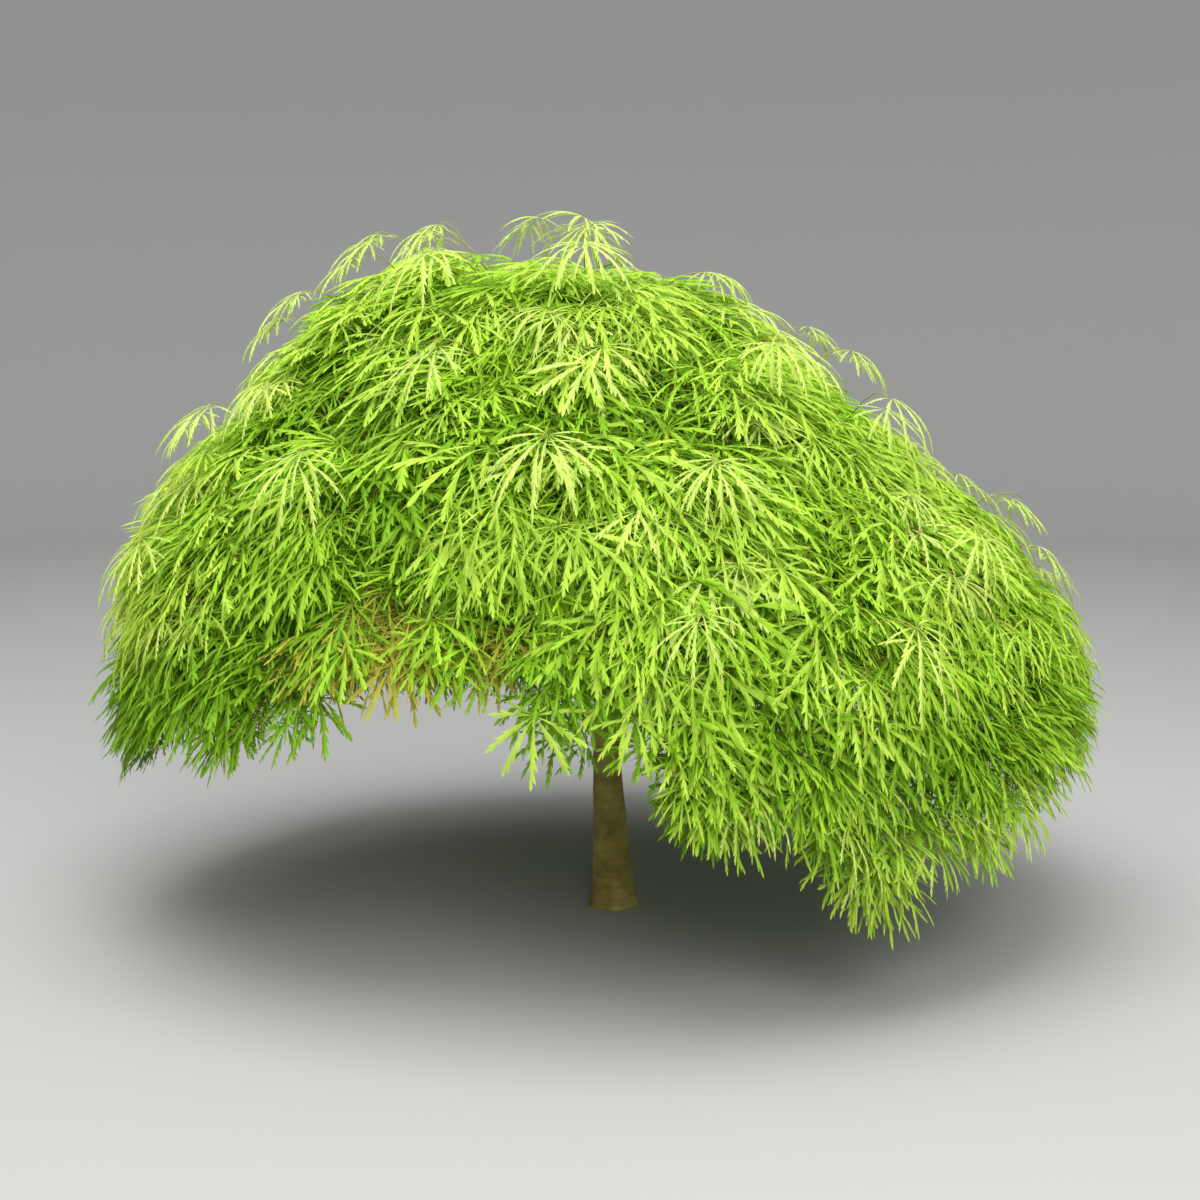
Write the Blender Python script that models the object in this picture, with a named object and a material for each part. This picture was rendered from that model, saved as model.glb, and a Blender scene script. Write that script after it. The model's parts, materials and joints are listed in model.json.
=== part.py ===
"""A weeping laceleaf maple, rooted in the ground: one trunk, its boughs, and a dome of cut leaves.

Metres, +Z up. The origin is the middle of the flat cut under the trunk, at ground level.
+X is the tree's right and -Y its front. The trunk carries three main boughs. Each main bough
carries two shoulder branches and two or three middle branches, and all but one of the middle
branches carry a skirt branch. Every limb ends where it enters its own mass of foliage.
"""

import math
import random

import bmesh
import bpy
from mathutils import Vector
from mathutils.kdtree import KDTree

# Crown: a dome that is rounder on its left than on its right
CROWN_TOP = 1.42
CROWN_CAP = 1.386
CROWN_WAIST = 0.50
CROWN_AXIS_X = -0.03
CROWN_HALF_LEFT = 1.005
CROWN_HALF_RIGHT = 1.040
CROWN_HALF_DEPTH = 0.90
CROWN_HEART_Z = 0.35
DOME_POWER_LEFT, DOME_ROOT_LEFT = 2.4, 2.0
DOME_POWER_RIGHT, DOME_ROOT_RIGHT = 1.5, 1.2
TUCK_UNDER = 0.12
# Hollows under the dome's shoulders: azimuth and its spread, height and its spread, and depth
HOLLOWS = ((180, 50, 1.08, 0.16, 0.090), (0, 45, 0.97, 0.15, 0.035))
UP = Vector((0, 0, 1))

# Skirt: azimuth and height of its lower edge, which arches at the left front, parts before the
# trunk and hangs lowest at the right front
SKIRT_STATIONS = (
    (0, 0.30), (180, 0.28), (212, 0.42), (226, 0.38), (242, 0.55), (254, 0.56), (261, 0.45),
    (271, 0.51), (279, 0.28), (290, 0.32), (305, 0.14), (320, 0.22), (340, 0.30), (360, 0.30),
)

# Tiers: each hangs over the next one like a shingle, from its floor's height at the rim
TOP_FLOOR = 1.03
SHOULDER_FLOOR = 0.79
MIDDLE_FLOOR = 0.52
SHINGLE_SLOPE = 0.7
SHINGLE_RISE = 0.12
SEAM_WAVE = 0.028
SECTOR_WAVE = 3
HUB_RADIUS = 0.20
SPACE_MARGIN = 0.004

# Trunk, as height, lean and radius: its foot flares into buttresses, its top closes in the fork
TRUNK_STATIONS = (
    (0.00, 0.000, 0.0470),
    (0.02, 0.000, 0.0440),
    (0.06, -0.001, 0.0415),
    (0.12, -0.003, 0.0380),
    (0.19, -0.007, 0.0335),
    (0.26, -0.011, 0.0300),
    (0.34, -0.013, 0.0280),
    (0.42, -0.012, 0.0275),
    (0.49, -0.009, 0.0262),
    (0.505, -0.008, 0.0215),
    (0.512, -0.008, 0.0120),
)
FLARE_HEIGHT = 0.10
BUTTRESSES = 5
BUTTRESS_DEPTH = 0.16

# Limbs
CLEARANCE = 0.0003
SEAT_CLEARANCE = 0.00038
MAIN_AZIMUTHS = {"back": 90, "left": 210, "right": 330}
MAIN_FORKS = {"back": 0.47, "left": 0.43, "right": 0.38}
MAIN_RADII = (0.0185, 0.0075)
SHOULDER_RADII = (0.0085, 0.0050)
MIDDLE_RADII = (0.0105, 0.0052)
SKIRT_RADII = (0.0068, 0.0042)
LIMB_POINTS = 8
CROOK = 0.022

# Foliage
STEM_POINTS = 5
STEM_LEAD = 0.014
STEM_END_RADIUS = 0.0030
TWIG_RADII = (0.0040, 0.0028)
TWIG_REACH = 0.62
HUB_TWIGS = 2
SHELL = 0.87
LEAF_LENGTH = 0.155
LEAF_HALF_THICKNESS = 0.0022
LOBE_ANGLES = (-104, -52, 0, 52, 104)
LOBE_LENGTHS = (0.70, 0.92, 1.0, 0.92, 0.70)
NOTCH_LENGTH = 0.17
LEAF_BASE_ANGLE = 152
LEAF_BASE_LENGTH = 0.045
LEAF_DROOP = 0.30
LEAF_SCALES = (1.0, 0.86, 0.74)
PETIOLE_LENGTH = 0.052
PETIOLE_TAPER = 0.32
LEAF_SPACINGS = (0.85, 0.65, 0.52)
TIP_SETBACK = 0.006
LIMB_CLEAR = 0.009
SEED = 11

BARK = ("bark", (0.118, 0.098, 0.036), 0.75)
YOUNG_BARK = ("young_bark", (0.165, 0.150, 0.045), 0.65)
LEAF_GREEN = ("leaf_green", (0.30, 0.56, 0.040), 0.55)


def leftness(azimuth):
    """0 at the tree's right, 1 at its left."""
    return (1 - math.cos(math.radians(azimuth))) / 2


def mixed(a, b, share):
    return a + (b - a) * share


def hollow(azimuth, z):
    """How far the dome is hollowed in at this azimuth and height."""
    depth = 0.0
    for middle, spread, height, band, deepest in HOLLOWS:
        swing = (azimuth - middle + 180) % 360 - 180
        depth += deepest * math.exp(-((swing / spread) ** 2) - ((z - height) / band) ** 2)
    return depth


def crown_radius(azimuth, z):
    """How far the crown reaches from its axis at this azimuth (degrees) and height."""
    left = leftness(azimuth)
    angle = math.radians(azimuth)
    half_side = mixed(CROWN_HALF_RIGHT, CROWN_HALF_LEFT, left)
    widest = 1 / math.hypot(math.cos(angle) / half_side, math.sin(angle) / CROWN_HALF_DEPTH)
    rise = (z - CROWN_WAIST) / (CROWN_TOP - CROWN_WAIST)
    if rise <= 0:
        share = 1 - TUCK_UNDER * ((CROWN_WAIST - z) / CROWN_WAIST) ** 2
    else:
        power = mixed(DOME_POWER_RIGHT, DOME_POWER_LEFT, left)
        root = mixed(DOME_ROOT_RIGHT, DOME_ROOT_LEFT, left)
        share = max(0.0, 1 - rise**power) ** (1 / root)
    return max(0.0, widest * share - hollow(azimuth, z))


def skirt_height(azimuth):
    """Height of the skirt's lower edge, eased from one station to the next."""
    azimuth %= 360
    for (start, low), (end, high) in zip(SKIRT_STATIONS, SKIRT_STATIONS[1:]):
        if azimuth <= end:
            share = (azimuth - start) / (end - start)
            return mixed(low, high, share * share * (3 - 2 * share))


def polar(point):
    """(azimuth in degrees, distance from the crown's axis) of a point."""
    x, y = point[0] - CROWN_AXIS_X, point[1]
    return math.degrees(math.atan2(y, x)), math.hypot(x, y)


def at(azimuth, radius, z):
    angle = math.radians(azimuth)
    return Vector((CROWN_AXIS_X + radius * math.cos(angle), radius * math.sin(angle), z))


def outward(point):
    """The dome's outward direction near a point, as on an ellipsoid about the crown's heart."""
    x, y = point[0] - CROWN_AXIS_X, point[1]
    half_height = CROWN_TOP - CROWN_HEART_Z
    half_side = mixed(CROWN_HALF_RIGHT, CROWN_HALF_LEFT, 0.5)
    return Vector((x / half_side**2, y / CROWN_HALF_DEPTH**2,
                   (point[2] - CROWN_HEART_Z) / half_height**2)).normalized()


def downhill(normal):
    """The steepest way down along the dome, where its outward direction is normal."""
    way = normal * normal.z - UP
    return way.normalized() if way.length > 0.05 else Vector((normal.x, normal.y, 0)).normalized()


def floor_height(rim_height, azimuth, radius):
    """The floor of a tier: it rises inwards from rim_height at the crown's rim, to a shelf."""
    inwards = crown_radius(azimuth, rim_height) - radius
    wave = SEAM_WAVE * math.sin(math.radians(7 * azimuth) + 9 * radius + 5 * rim_height)
    return rim_height + wave + min(SHINGLE_RISE, SHINGLE_SLOPE * inwards)


class Space:
    """The room of one mass of foliage: a sector of one tier, inside the crown's outline.

    In the top tier, the round middle over the boughs belongs to the mass that has the hub.
    """

    def __init__(self, azimuth, half_sector, floor, ceiling, has_hub=False):
        self.azimuth, self.half_sector = azimuth, half_sector
        self.floor, self.ceiling, self.has_hub = floor, ceiling, has_hub

    def rim_floor(self, azimuth):
        return skirt_height(azimuth) if self.floor is None else self.floor

    def holds(self, point):
        azimuth, radius = polar(point)
        turned = azimuth + SECTOR_WAVE * math.sin(11 * point[2])
        swing = math.radians((turned - self.azimuth + 180) % 360 - 180)
        beside = radius * math.sin(math.radians(self.half_sector) - abs(swing))
        if self.has_hub:
            beside = max(beside, HUB_RADIUS - radius)
        elif self.ceiling is None:
            beside = min(beside, radius - HUB_RADIUS)
        if beside < SPACE_MARGIN or point[2] > CROWN_CAP or radius > crown_radius(azimuth, point[2]):
            return False
        above = point[2] - floor_height(self.rim_floor(azimuth), azimuth, radius)
        if self.floor is None:
            above = point[2] - self.rim_floor(azimuth)
        if above < SPACE_MARGIN:
            return False
        if self.ceiling is None:
            return True
        return floor_height(self.ceiling, azimuth, radius) - point[2] > SPACE_MARGIN


def bezier(points, count):
    """count points along the Bezier curve of 3 or 4 control points."""
    found = []
    for i in range(count):
        level, share = list(points), i / (count - 1)
        while len(level) > 1:
            level = [a.lerp(b, share) for a, b in zip(level, level[1:])]
        found.append(level[0])
    return found


def crooked(points, phase):
    """The same route with the slight zigzag of a maple's limb, straight at both ends."""
    made = [points[0]]
    for i, point in enumerate(points[1:-1], 1):
        along = (points[i + 1] - points[i - 1]).normalized()
        side = along.cross(UP).normalized()
        calm = math.sin(math.pi * i / (len(points) - 1))
        sway = math.sin(2.6 * i + phase) * CROOK * calm
        lift = math.cos(2.1 * i + phase) * CROOK * 0.6 * calm
        made.append(point + side * sway + side.cross(along) * lift)
    return [*made, points[-1]]


class Limb:
    """One tapering limb: its name, its route and the radius at each end."""

    def __init__(self, name, route, radii, parent=None):
        self.name, self.route, self.parent = name, route, parent
        last = len(route) - 1
        self.radii = [mixed(*radii, i / last) for i in range(last + 1)]

    def point(self, share):
        place = share * (len(self.route) - 1)
        i = min(int(place), len(self.route) - 2)
        return self.route[i].lerp(self.route[i + 1], place - i)

    def tip_direction(self):
        return (self.route[-1] - self.route[-2]).normalized()


def trunk_limb():
    route = [Vector((x, 0, z)) for z, x, _ in TRUNK_STATIONS]
    trunk = Limb("trunk", route, (0, 0))
    trunk.radii = [radius for _, _, radius in TRUNK_STATIONS]
    return trunk


def trunk_point(height):
    stations = TRUNK_STATIONS
    for (z0, x0, _), (z1, x1, _) in zip(stations, stations[1:]):
        if z0 <= height <= z1:
            return Vector((mixed(x0, x1, (height - z0) / (z1 - z0)), 0, height))
    raise ValueError("no trunk at that height")


def main_bough(word, trunk):
    """Rises steeply from the side of the trunk to the foot of one of the top masses."""
    azimuth, start = MAIN_AZIMUTHS[word], trunk_point(MAIN_FORKS[word])
    route = [start, at(azimuth, 0.17, 0.56), at(azimuth - 12, 0.20, 0.86), at(azimuth, 0.16, 1.13)]
    return Limb(f"bough_{word}", crooked(bezier(route, LIMB_POINTS), azimuth), MAIN_RADII, trunk)


def shoulder_branch(word, azimuth, parent, fork):
    start = parent.point(fork)
    reach = crown_radius(azimuth, 0.98)
    route = [start, at(azimuth, 0.30 * reach, start.z + 0.10), at(azimuth, 0.48 * reach, 1.01)]
    points = crooked(bezier(route, LIMB_POINTS - 2), azimuth)
    return Limb(f"branch_shoulder_{word}", points, SHOULDER_RADII, parent)


def middle_branch(word, azimuth, parent, fork):
    start = parent.point(fork)
    reach = crown_radius(azimuth, 0.70)
    route = [start, at(azimuth, 0.26 * reach, start.z + 0.16),
             at(azimuth, 0.42 * reach, 0.84), at(azimuth, 0.58 * reach, 0.76)]
    points = crooked(bezier(route, LIMB_POINTS), azimuth)
    return Limb(f"branch_middle_{word}", points, MIDDLE_RADII, parent)


def skirt_branch(word, azimuth, parent):
    start = parent.point(0.42)
    reach = crown_radius(azimuth, 0.45)
    route = [start, at(azimuth, 0.50 * reach, 0.67), at(azimuth, 0.62 * reach, 0.54)]
    points = crooked(bezier(route, LIMB_POINTS - 2), azimuth)
    return Limb(f"branch_skirt_{word}", points, SKIRT_RADII, parent)


# Where the branches leave the main boughs: word, azimuth, main bough, share of the way up it
SHOULDERS = (
    ("right", 0, "right", 0.68),
    ("right_back", 60, "back", 0.60),
    ("left_back", 120, "back", 0.68),
    ("left", 180, "left", 0.60),
    ("front_left", 240, "left", 0.68),
    ("front_right", 300, "right", 0.60),
)
MIDDLES = (
    ("right", 0, "right", 0.42),
    ("right_back", 51, "back", 0.30),
    ("back", 103, "back", 0.42),
    ("left_back", 154, "left", 0.27),
    ("left_front", 206, "left", 0.44),
    ("front", 257, "left", 0.35),
    ("front_right", 309, "right", 0.30),
)

# The skirt: word, azimuth, the middle branch that carries it. The left front has none
SKIRTS = (
    ("right", 26, "right"),
    ("right_back", 77, "right_back"),
    ("left_back", 129, "back"),
    ("left", 180, "left_back"),
    ("front", 283, "front"),
    ("right_front", 335, "front_right"),
)


class Mass:
    """One mass of foliage: its limb, its space, its stem's route, and how many twigs and leaves."""

    def __init__(self, name, limb, space, bends, twigs, leaves):
        self.name, self.limb, self.space = name, limb, space
        self.twigs, self.leaves = twigs, leaves
        tip, way = limb.route[-1], limb.tip_direction()
        start, lead = tip + way * CLEARANCE, tip + way * STEM_LEAD
        self.stem = [start, *bezier([lead, *bends], STEM_POINTS)]
        self.stem_radii = (limb.radii[-1] * 0.95, STEM_END_RADIUS)


def top_mass(word, limb):
    azimuth = MAIN_AZIMUTHS[word]
    space = Space(azimuth, 60, TOP_FLOOR, None, has_hub=word == "left")
    left = leftness(azimuth)
    reach = crown_radius(azimuth, mixed(1.13, 1.22, left))
    bends = [at(azimuth, 0.40 * reach, mixed(1.40, 1.51, left)),
             at(azimuth, mixed(0.64, 0.74, left) * reach, mixed(1.16, 1.25, left))]
    return Mass(f"foliage_top_{word}", limb, space, bends, 5, 14 if space.has_hub else 10)


def shoulder_mass(word, azimuth, limb):
    space = Space(azimuth, 30, SHOULDER_FLOOR, TOP_FLOOR)
    bends = [at(azimuth, 0.72 * crown_radius(azimuth, 1.0), 1.15),
             at(azimuth, 0.88 * crown_radius(azimuth, 0.96), 0.96)]
    return Mass(f"foliage_shoulder_{word}", limb, space, bends, 5, 11)


def middle_mass(word, azimuth, limb):
    space = Space(azimuth, 25.7, MIDDLE_FLOOR, SHOULDER_FLOOR)
    bends = [at(azimuth, 0.84 * crown_radius(azimuth, 0.74), 0.83),
             at(azimuth, 0.91 * crown_radius(azimuth, 0.62), 0.70)]
    return Mass(f"foliage_middle_{word}", limb, space, bends, 5, 11)


def skirt_mass(word, azimuth, limb):
    space = Space(azimuth, 25.7, None, MIDDLE_FLOOR)
    low = skirt_height(azimuth) + 0.15
    bends = [at(azimuth, 0.84 * crown_radius(azimuth, 0.48), 0.54),
             at(azimuth, 0.91 * crown_radius(azimuth, low), low)]
    return Mass(f"foliage_skirt_{word}", limb, space, bends, 5, 11)


def skeleton():
    """Every limb from the trunk up, and every mass of foliage at a limb's tip."""
    trunk = trunk_limb()
    mains = {word: main_bough(word, trunk) for word in MAIN_AZIMUTHS}
    limbs = [trunk, *mains.values()]
    masses = [top_mass(word, main) for word, main in mains.items()]
    for word, azimuth, main, fork in SHOULDERS:
        branch = shoulder_branch(word, azimuth, mains[main], fork)
        limbs.append(branch)
        masses.append(shoulder_mass(word, azimuth, branch))
    middles = {}
    for word, azimuth, main, fork in MIDDLES:
        middles[word] = middle_branch(word, azimuth, mains[main], fork)
        limbs.append(middles[word])
        masses.append(middle_mass(word, azimuth, middles[word]))
    for word, azimuth, middle in SKIRTS:
        branch = skirt_branch(word, azimuth, middles[middle])
        limbs.append(branch)
        masses.append(skirt_mass(word, azimuth, branch))
    return limbs, masses


class Reach:
    """Where the wood is, so that leaves and twigs keep clear of it."""

    def __init__(self, limbs, masses):
        wood = [(limb.name, limb.route, limb.radii) for limb in limbs]
        wood += [(m.name, m.stem, [m.stem_radii[0]] * len(m.stem)) for m in masses]
        self.spots = []
        for owner, route, radii in wood:
            for a, b, radius in zip(route, route[1:], radii):
                steps = max(1, round((b - a).length / 0.01))
                self.spots += [(a.lerp(b, i / steps), radius, owner) for i in range(steps + 1)]
        self.tree = KDTree(len(self.spots))
        for i, (spot, _, _) in enumerate(self.spots):
            self.tree.insert(spot, i)
        self.tree.balance()
        self.widest = max(radius for _, radius, _ in self.spots)

    def clear(self, a, b, but):
        """True if the line from a to b keeps off all wood but that of the mass named but."""
        steps = max(1, round((b - a).length / LIMB_CLEAR))
        for point in (a.lerp(b, i / steps) for i in range(steps + 1)):
            for _, i, distance in self.tree.find_range(point, self.widest + LIMB_CLEAR):
                _, radius, owner = self.spots[i]
                if owner != but and distance < radius + LIMB_CLEAR:
                    return False
        return True


def twig_routes(mass, rng, reach):
    """Side twigs that leave the stem by turns to its left and right and bend over the dome.

    The mass that has the hub sends two more twigs back over the middle of the crown.
    """
    routes = []
    hub_twigs = HUB_TWIGS if mass.space.has_hub else 0
    for i in range(-hub_twigs, mass.twigs):
        share = mixed(0.22, 0.92, i / (mass.twigs - 1)) if i >= 0 else 0.30 - 0.06 * i
        place = share * (len(mass.stem) - 1)
        k = min(int(place), len(mass.stem) - 2)
        start = mass.stem[k].lerp(mass.stem[k + 1], place - k)
        normal = outward(start)
        down = downhill(normal)
        side = down.cross(normal) * (1 if i % 2 else -1)
        if i < 0:
            down, side = UP * 0.4, (side * 0.5 - down).normalized()
        width = polar(start)[1] * math.radians(mass.space.half_sector)
        length = min(0.26, TWIG_REACH * width) * rng.uniform(0.8, 1.1) if i >= 0 else HUB_RADIUS * 1.3
        for shorter in (1, 0.75, 0.5):
            way = (side + down * rng.uniform(0.0, 0.3) + normal * 0.12).normalized()
            end = start + way * length * shorter
            azimuth, radius = polar(end)
            end = at(azimuth, min(radius, SHELL * crown_radius(azimuth, end.z)), end.z)
            middle = start.lerp(end, 0.55) + normal * 0.02
            inside = all(mass.space.holds(p) for p in (middle, middle.lerp(end, 0.5), end))
            if inside and all(reach.clear(a, b, mass.name) for a, b in ((start, middle), (middle, end))):
                routes.append([start, middle, end])
                break
    return routes


def leaf_sites(mass, twigs, rng):
    """(root, way along the twig, side) of each place where a leaf may grow, tips first."""
    sites = []
    for a, b in [mass.stem[-2:], *(twig[1:] for twig in twigs)]:
        along = (b - a).normalized()
        sites.append((b - along * TIP_SETBACK, along, 0))
        for side, share in ((-1, 0.72), (1, 0.55), (-1, 0.25), (1, 0.08)):
            sites.append((a.lerp(b, share), along, side))
    for a, b in zip(mass.stem[1:], mass.stem[2:-1]):
        for side, share in ((-1, 0.6), (1, 0.3)):
            sites.append((a.lerp(b, share), (b - a).normalized(), side))
    ends = [site for site in sites if site[2] == 0]
    rest = [site for site in sites if site[2] != 0]
    rng.shuffle(rest)
    return ends + rest


class Leaf:
    """A leaf's frame: the root of its stalk, the middle of its blade, and the blade's axes."""

    def __init__(self, root, along, side, rng, scale):
        normal = outward(root)
        down = downhill(normal)
        along = along.normalized()
        across = along.cross(normal).normalized() * side
        stalk = normal * rng.uniform(0.3, 0.6) + down * 0.35 + across * 0.8
        stalk += along * (0.9 if side == 0 else 0.35)
        self.root, self.scale = root, scale
        self.stalk = stalk.normalized()
        self.centre = root + self.stalk * PETIOLE_LENGTH
        turn = math.radians(rng.uniform(-38, 38))
        flat = (self.stalk - normal * self.stalk.dot(normal)).normalized()
        forward = down * 0.85 + flat * 0.55 + normal * rng.uniform(-0.05, 0.25)
        forward = forward * math.cos(turn) + down.cross(normal) * math.sin(turn)
        self.forward = forward.normalized()
        face = normal + UP * 0.55
        face -= self.forward * face.dot(self.forward)
        self.face = face.normalized()
        self.side = self.forward.cross(self.face)

    def place(self, angle, length):
        """A point of the blade's outline, at an angle from its middle lobe. Long lobes droop."""
        angle = math.radians(angle)
        size = length * LEAF_LENGTH * self.scale
        flat = self.forward * math.cos(angle) + self.side * math.sin(angle)
        return self.centre + flat * size - UP * (LEAF_DROOP * size * length)

    def tips(self):
        return [self.place(a, s) for a, s in zip(LOBE_ANGLES, LOBE_LENGTHS)]

    def outline(self):
        """The outline from one base corner round the lobes to the other, by angle."""
        points = [self.place(-LEAF_BASE_ANGLE, LEAF_BASE_LENGTH)]
        for i, tip in enumerate(self.tips()):
            points.append(tip)
            if i < len(LOBE_ANGLES) - 1:
                points.append(self.place((LOBE_ANGLES[i] + LOBE_ANGLES[i + 1]) / 2, NOTCH_LENGTH))
        return [*points, self.place(LEAF_BASE_ANGLE, LEAF_BASE_LENGTH)]


def fits(leaf, mass, placed, spacing, reach):
    """True if the leaf stays in the mass's space, off the wood and apart from other leaves."""
    if any((leaf.centre - other.centre).length < spacing for other in placed):
        return False
    tips = leaf.tips()
    if not all(mass.space.holds(tip) for tip in [*tips, leaf.centre]):
        return False
    return all(reach.clear(leaf.centre, end, mass.name) for end in [leaf.root, *tips])


def grow(mass, reach):
    """The twigs and leaves of one mass, by a rule with a seed of its own."""
    rng = random.Random(f"{SEED} {mass.name}")
    twigs = twig_routes(mass, rng, reach)
    leaves, sites = [], leaf_sites(mass, twigs, rng)
    for spacing in LEAF_SPACINGS:
        for root, along, side in sites:
            for scale in LEAF_SCALES:
                leaf = Leaf(root, along, side, rng, scale)
                if fits(leaf, mass, leaves, spacing * LEAF_LENGTH, reach):
                    leaves.append(leaf)
                    break
    return twigs, leaves[:mass.leaves]


def plain_material(name, colour, roughness):
    made = bpy.data.materials.new(name)
    made.use_nodes = True
    shader = made.node_tree.nodes["Principled BSDF"]
    shader.inputs["Base Color"].default_value = (*colour, 1)
    shader.inputs["Roughness"].default_value = roughness
    shader.inputs["Metallic"].default_value = 0
    return made


def new_object(name, data, collection, material=None):
    made = bpy.data.objects.new(name, data)
    collection.objects.link(made)
    if material:
        made.data.materials.append(material)
    return made


def tube(name, route, radii, collection, sides=None, resolution=1):
    """A closed mesh tube along a route. sides is a curve to sweep in place of a circle."""
    curve = bpy.data.curves.new(name, "CURVE")
    curve.dimensions = "3D"
    curve.use_fill_caps = True
    if sides:
        curve.bevel_mode = "OBJECT"
        curve.bevel_object = sides
    else:
        curve.bevel_depth = 1
        curve.bevel_resolution = resolution
    spline = curve.splines.new("POLY")
    spline.points.add(len(route) - 1)
    for knot, place, radius in zip(spline.points, route, radii):
        knot.co = (*place, 1)
        knot.radius = radius
    guide = new_object(name + "_guide", curve, collection)
    bpy.context.view_layer.update()
    swept = guide.evaluated_get(bpy.context.evaluated_depsgraph_get())
    mesh = bpy.data.meshes.new_from_object(swept)
    bpy.data.objects.remove(guide)
    welded = bmesh.new()
    welded.from_mesh(mesh)
    bmesh.ops.remove_doubles(welded, verts=welded.verts, dist=0.00002)
    bmesh.ops.recalc_face_normals(welded, faces=welded.faces)
    welded.to_mesh(mesh)
    welded.free()
    return new_object(name, mesh, collection)


def triangle_profile(collection):
    """The three-sided section of every twig, of radius 1."""
    curve = bpy.data.curves.new("twig_section", "CURVE")
    curve.dimensions = "2D"
    spline = curve.splines.new("POLY")
    spline.points.add(2)
    spline.use_cyclic_u = True
    for i, knot in enumerate(spline.points):
        angle = 2 * math.pi * i / 3
        knot.co = (math.cos(angle), math.sin(angle), 0, 1)
    return new_object("twig_section", curve, collection)


def flare(trunk):
    """Spreads the foot of the trunk into buttresses."""
    for vertex in trunk.data.vertices:
        low = max(0.0, 1 - vertex.co.z / FLARE_HEIGHT) ** 2
        angle = math.atan2(vertex.co.y, vertex.co.x)
        swell = 1 + BUTTRESS_DEPTH * low * (0.5 + 0.5 * math.cos(BUTTRESSES * angle + 0.8))
        vertex.co.x *= swell
        vertex.co.y *= swell


def limb_object(limb, parts, cutters, material):
    resolution = 6 if limb.parent is None else 1
    made = tube(limb.name, limb.route, limb.radii, parts, resolution=resolution)
    made.data.materials.append(material)
    if limb.parent is None:
        flare(made)
        return made
    parent = limb.parent
    resolution = 6 if parent.parent is None else 1
    wider = [radius + SEAT_CLEARANCE for radius in parent.radii]
    longer = [*parent.route[:-1], parent.route[-1] + parent.tip_direction() * CLEARANCE]
    seat = tube(limb.name + "_seat", longer, wider, cutters, resolution=resolution)
    seat.hide_render = True
    seat.display_type = "WIRE"
    cut = made.modifiers.new("seat", "BOOLEAN")
    cut.operation = "DIFFERENCE"
    cut.object = seat
    return made


def leaf_object(leaf, name, collection):
    """A blade with an edge all round and two faces, and a three-sided stalk to its root."""
    outline = leaf.outline()
    shape = bmesh.new()
    bmesh.ops.create_uvsphere(shape, u_segments=len(outline), v_segments=2, radius=1)
    poles = sorted((v for v in shape.verts if abs(v.co.z) > 0.5), key=lambda v: v.co.z)
    rim = [v for v in shape.verts if v not in poles]
    rim.sort(key=lambda v: math.atan2(v.co.y, v.co.x))
    thick = leaf.face * LEAF_HALF_THICKNESS
    poles[0].co = leaf.centre - thick
    poles[1].co = leaf.centre + thick
    for vertex, place in zip(rim, outline):
        vertex.co = place
    ends = {rim[0], rim[-1], poles[0]}
    base = next(face for face in shape.faces if set(face.verts) == ends)
    middle = base.calc_center_median()
    made = bmesh.ops.extrude_face_region(shape, geom=[base])
    bmesh.ops.delete(shape, geom=[base], context="FACES_ONLY")
    for vertex in (g for g in made["geom"] if isinstance(g, bmesh.types.BMVert)):
        vertex.co = leaf.root + (vertex.co - middle) * PETIOLE_TAPER
    if shape.calc_volume(signed=True) < 0:
        bmesh.ops.reverse_faces(shape, faces=shape.faces)
    mesh = bpy.data.meshes.new(name)
    shape.to_mesh(mesh)
    shape.free()
    return new_object(name, mesh, collection)


def keep_largest_body(mesh):
    """Drops the tiny sealed pockets that can be left where twigs and stalks meet."""
    shape = bmesh.new()
    shape.from_mesh(mesh)
    bodies, unseen = [], set(shape.verts)
    while unseen:
        body, front = set(), {unseen.pop()}
        while front:
            body |= front
            front = {e.other_vert(v) for v in front for e in v.link_edges} - body
        unseen -= body
        bodies.append(body)
    largest = max(bodies, key=len)
    bmesh.ops.delete(shape, geom=[v for v in shape.verts if v not in largest], context="VERTS")
    shape.to_mesh(mesh)
    shape.free()


def mass_object(mass, reach, section, parts, material):
    """The stem, twigs and leaves of one mass, joined into one solid."""
    twigs, leaves = grow(mass, reach)
    pieces = bpy.data.collections.new(mass.name + "_pieces")
    bpy.context.scene.collection.children.link(pieces)
    last = len(mass.stem) - 1
    stem_radii = [mixed(*mass.stem_radii, i / last) for i in range(last + 1)]
    made = tube(mass.name, mass.stem, stem_radii, parts, section)
    made.data.materials.append(material)
    for i, route in enumerate(twigs):
        radii = [mixed(*TWIG_RADII, k / 2) for k in range(3)]
        tube(f"twig_{i}", route, radii, pieces, section)
    for i, leaf in enumerate(leaves):
        leaf_object(leaf, f"leaf_{i}", pieces)
    join = made.modifiers.new("join", "BOOLEAN")
    join.operation = "UNION"
    join.operand_type = "COLLECTION"
    join.collection = pieces
    join.solver = "MANIFOLD"
    bpy.context.view_layer.update()
    solid = made.evaluated_get(bpy.context.evaluated_depsgraph_get())
    joined = bpy.data.meshes.new_from_object(solid)
    keep_largest_body(joined)
    made.modifiers.clear()
    made.data = joined
    for piece in list(pieces.objects):
        bpy.data.objects.remove(piece)
    bpy.data.collections.remove(pieces)
    return made


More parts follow.
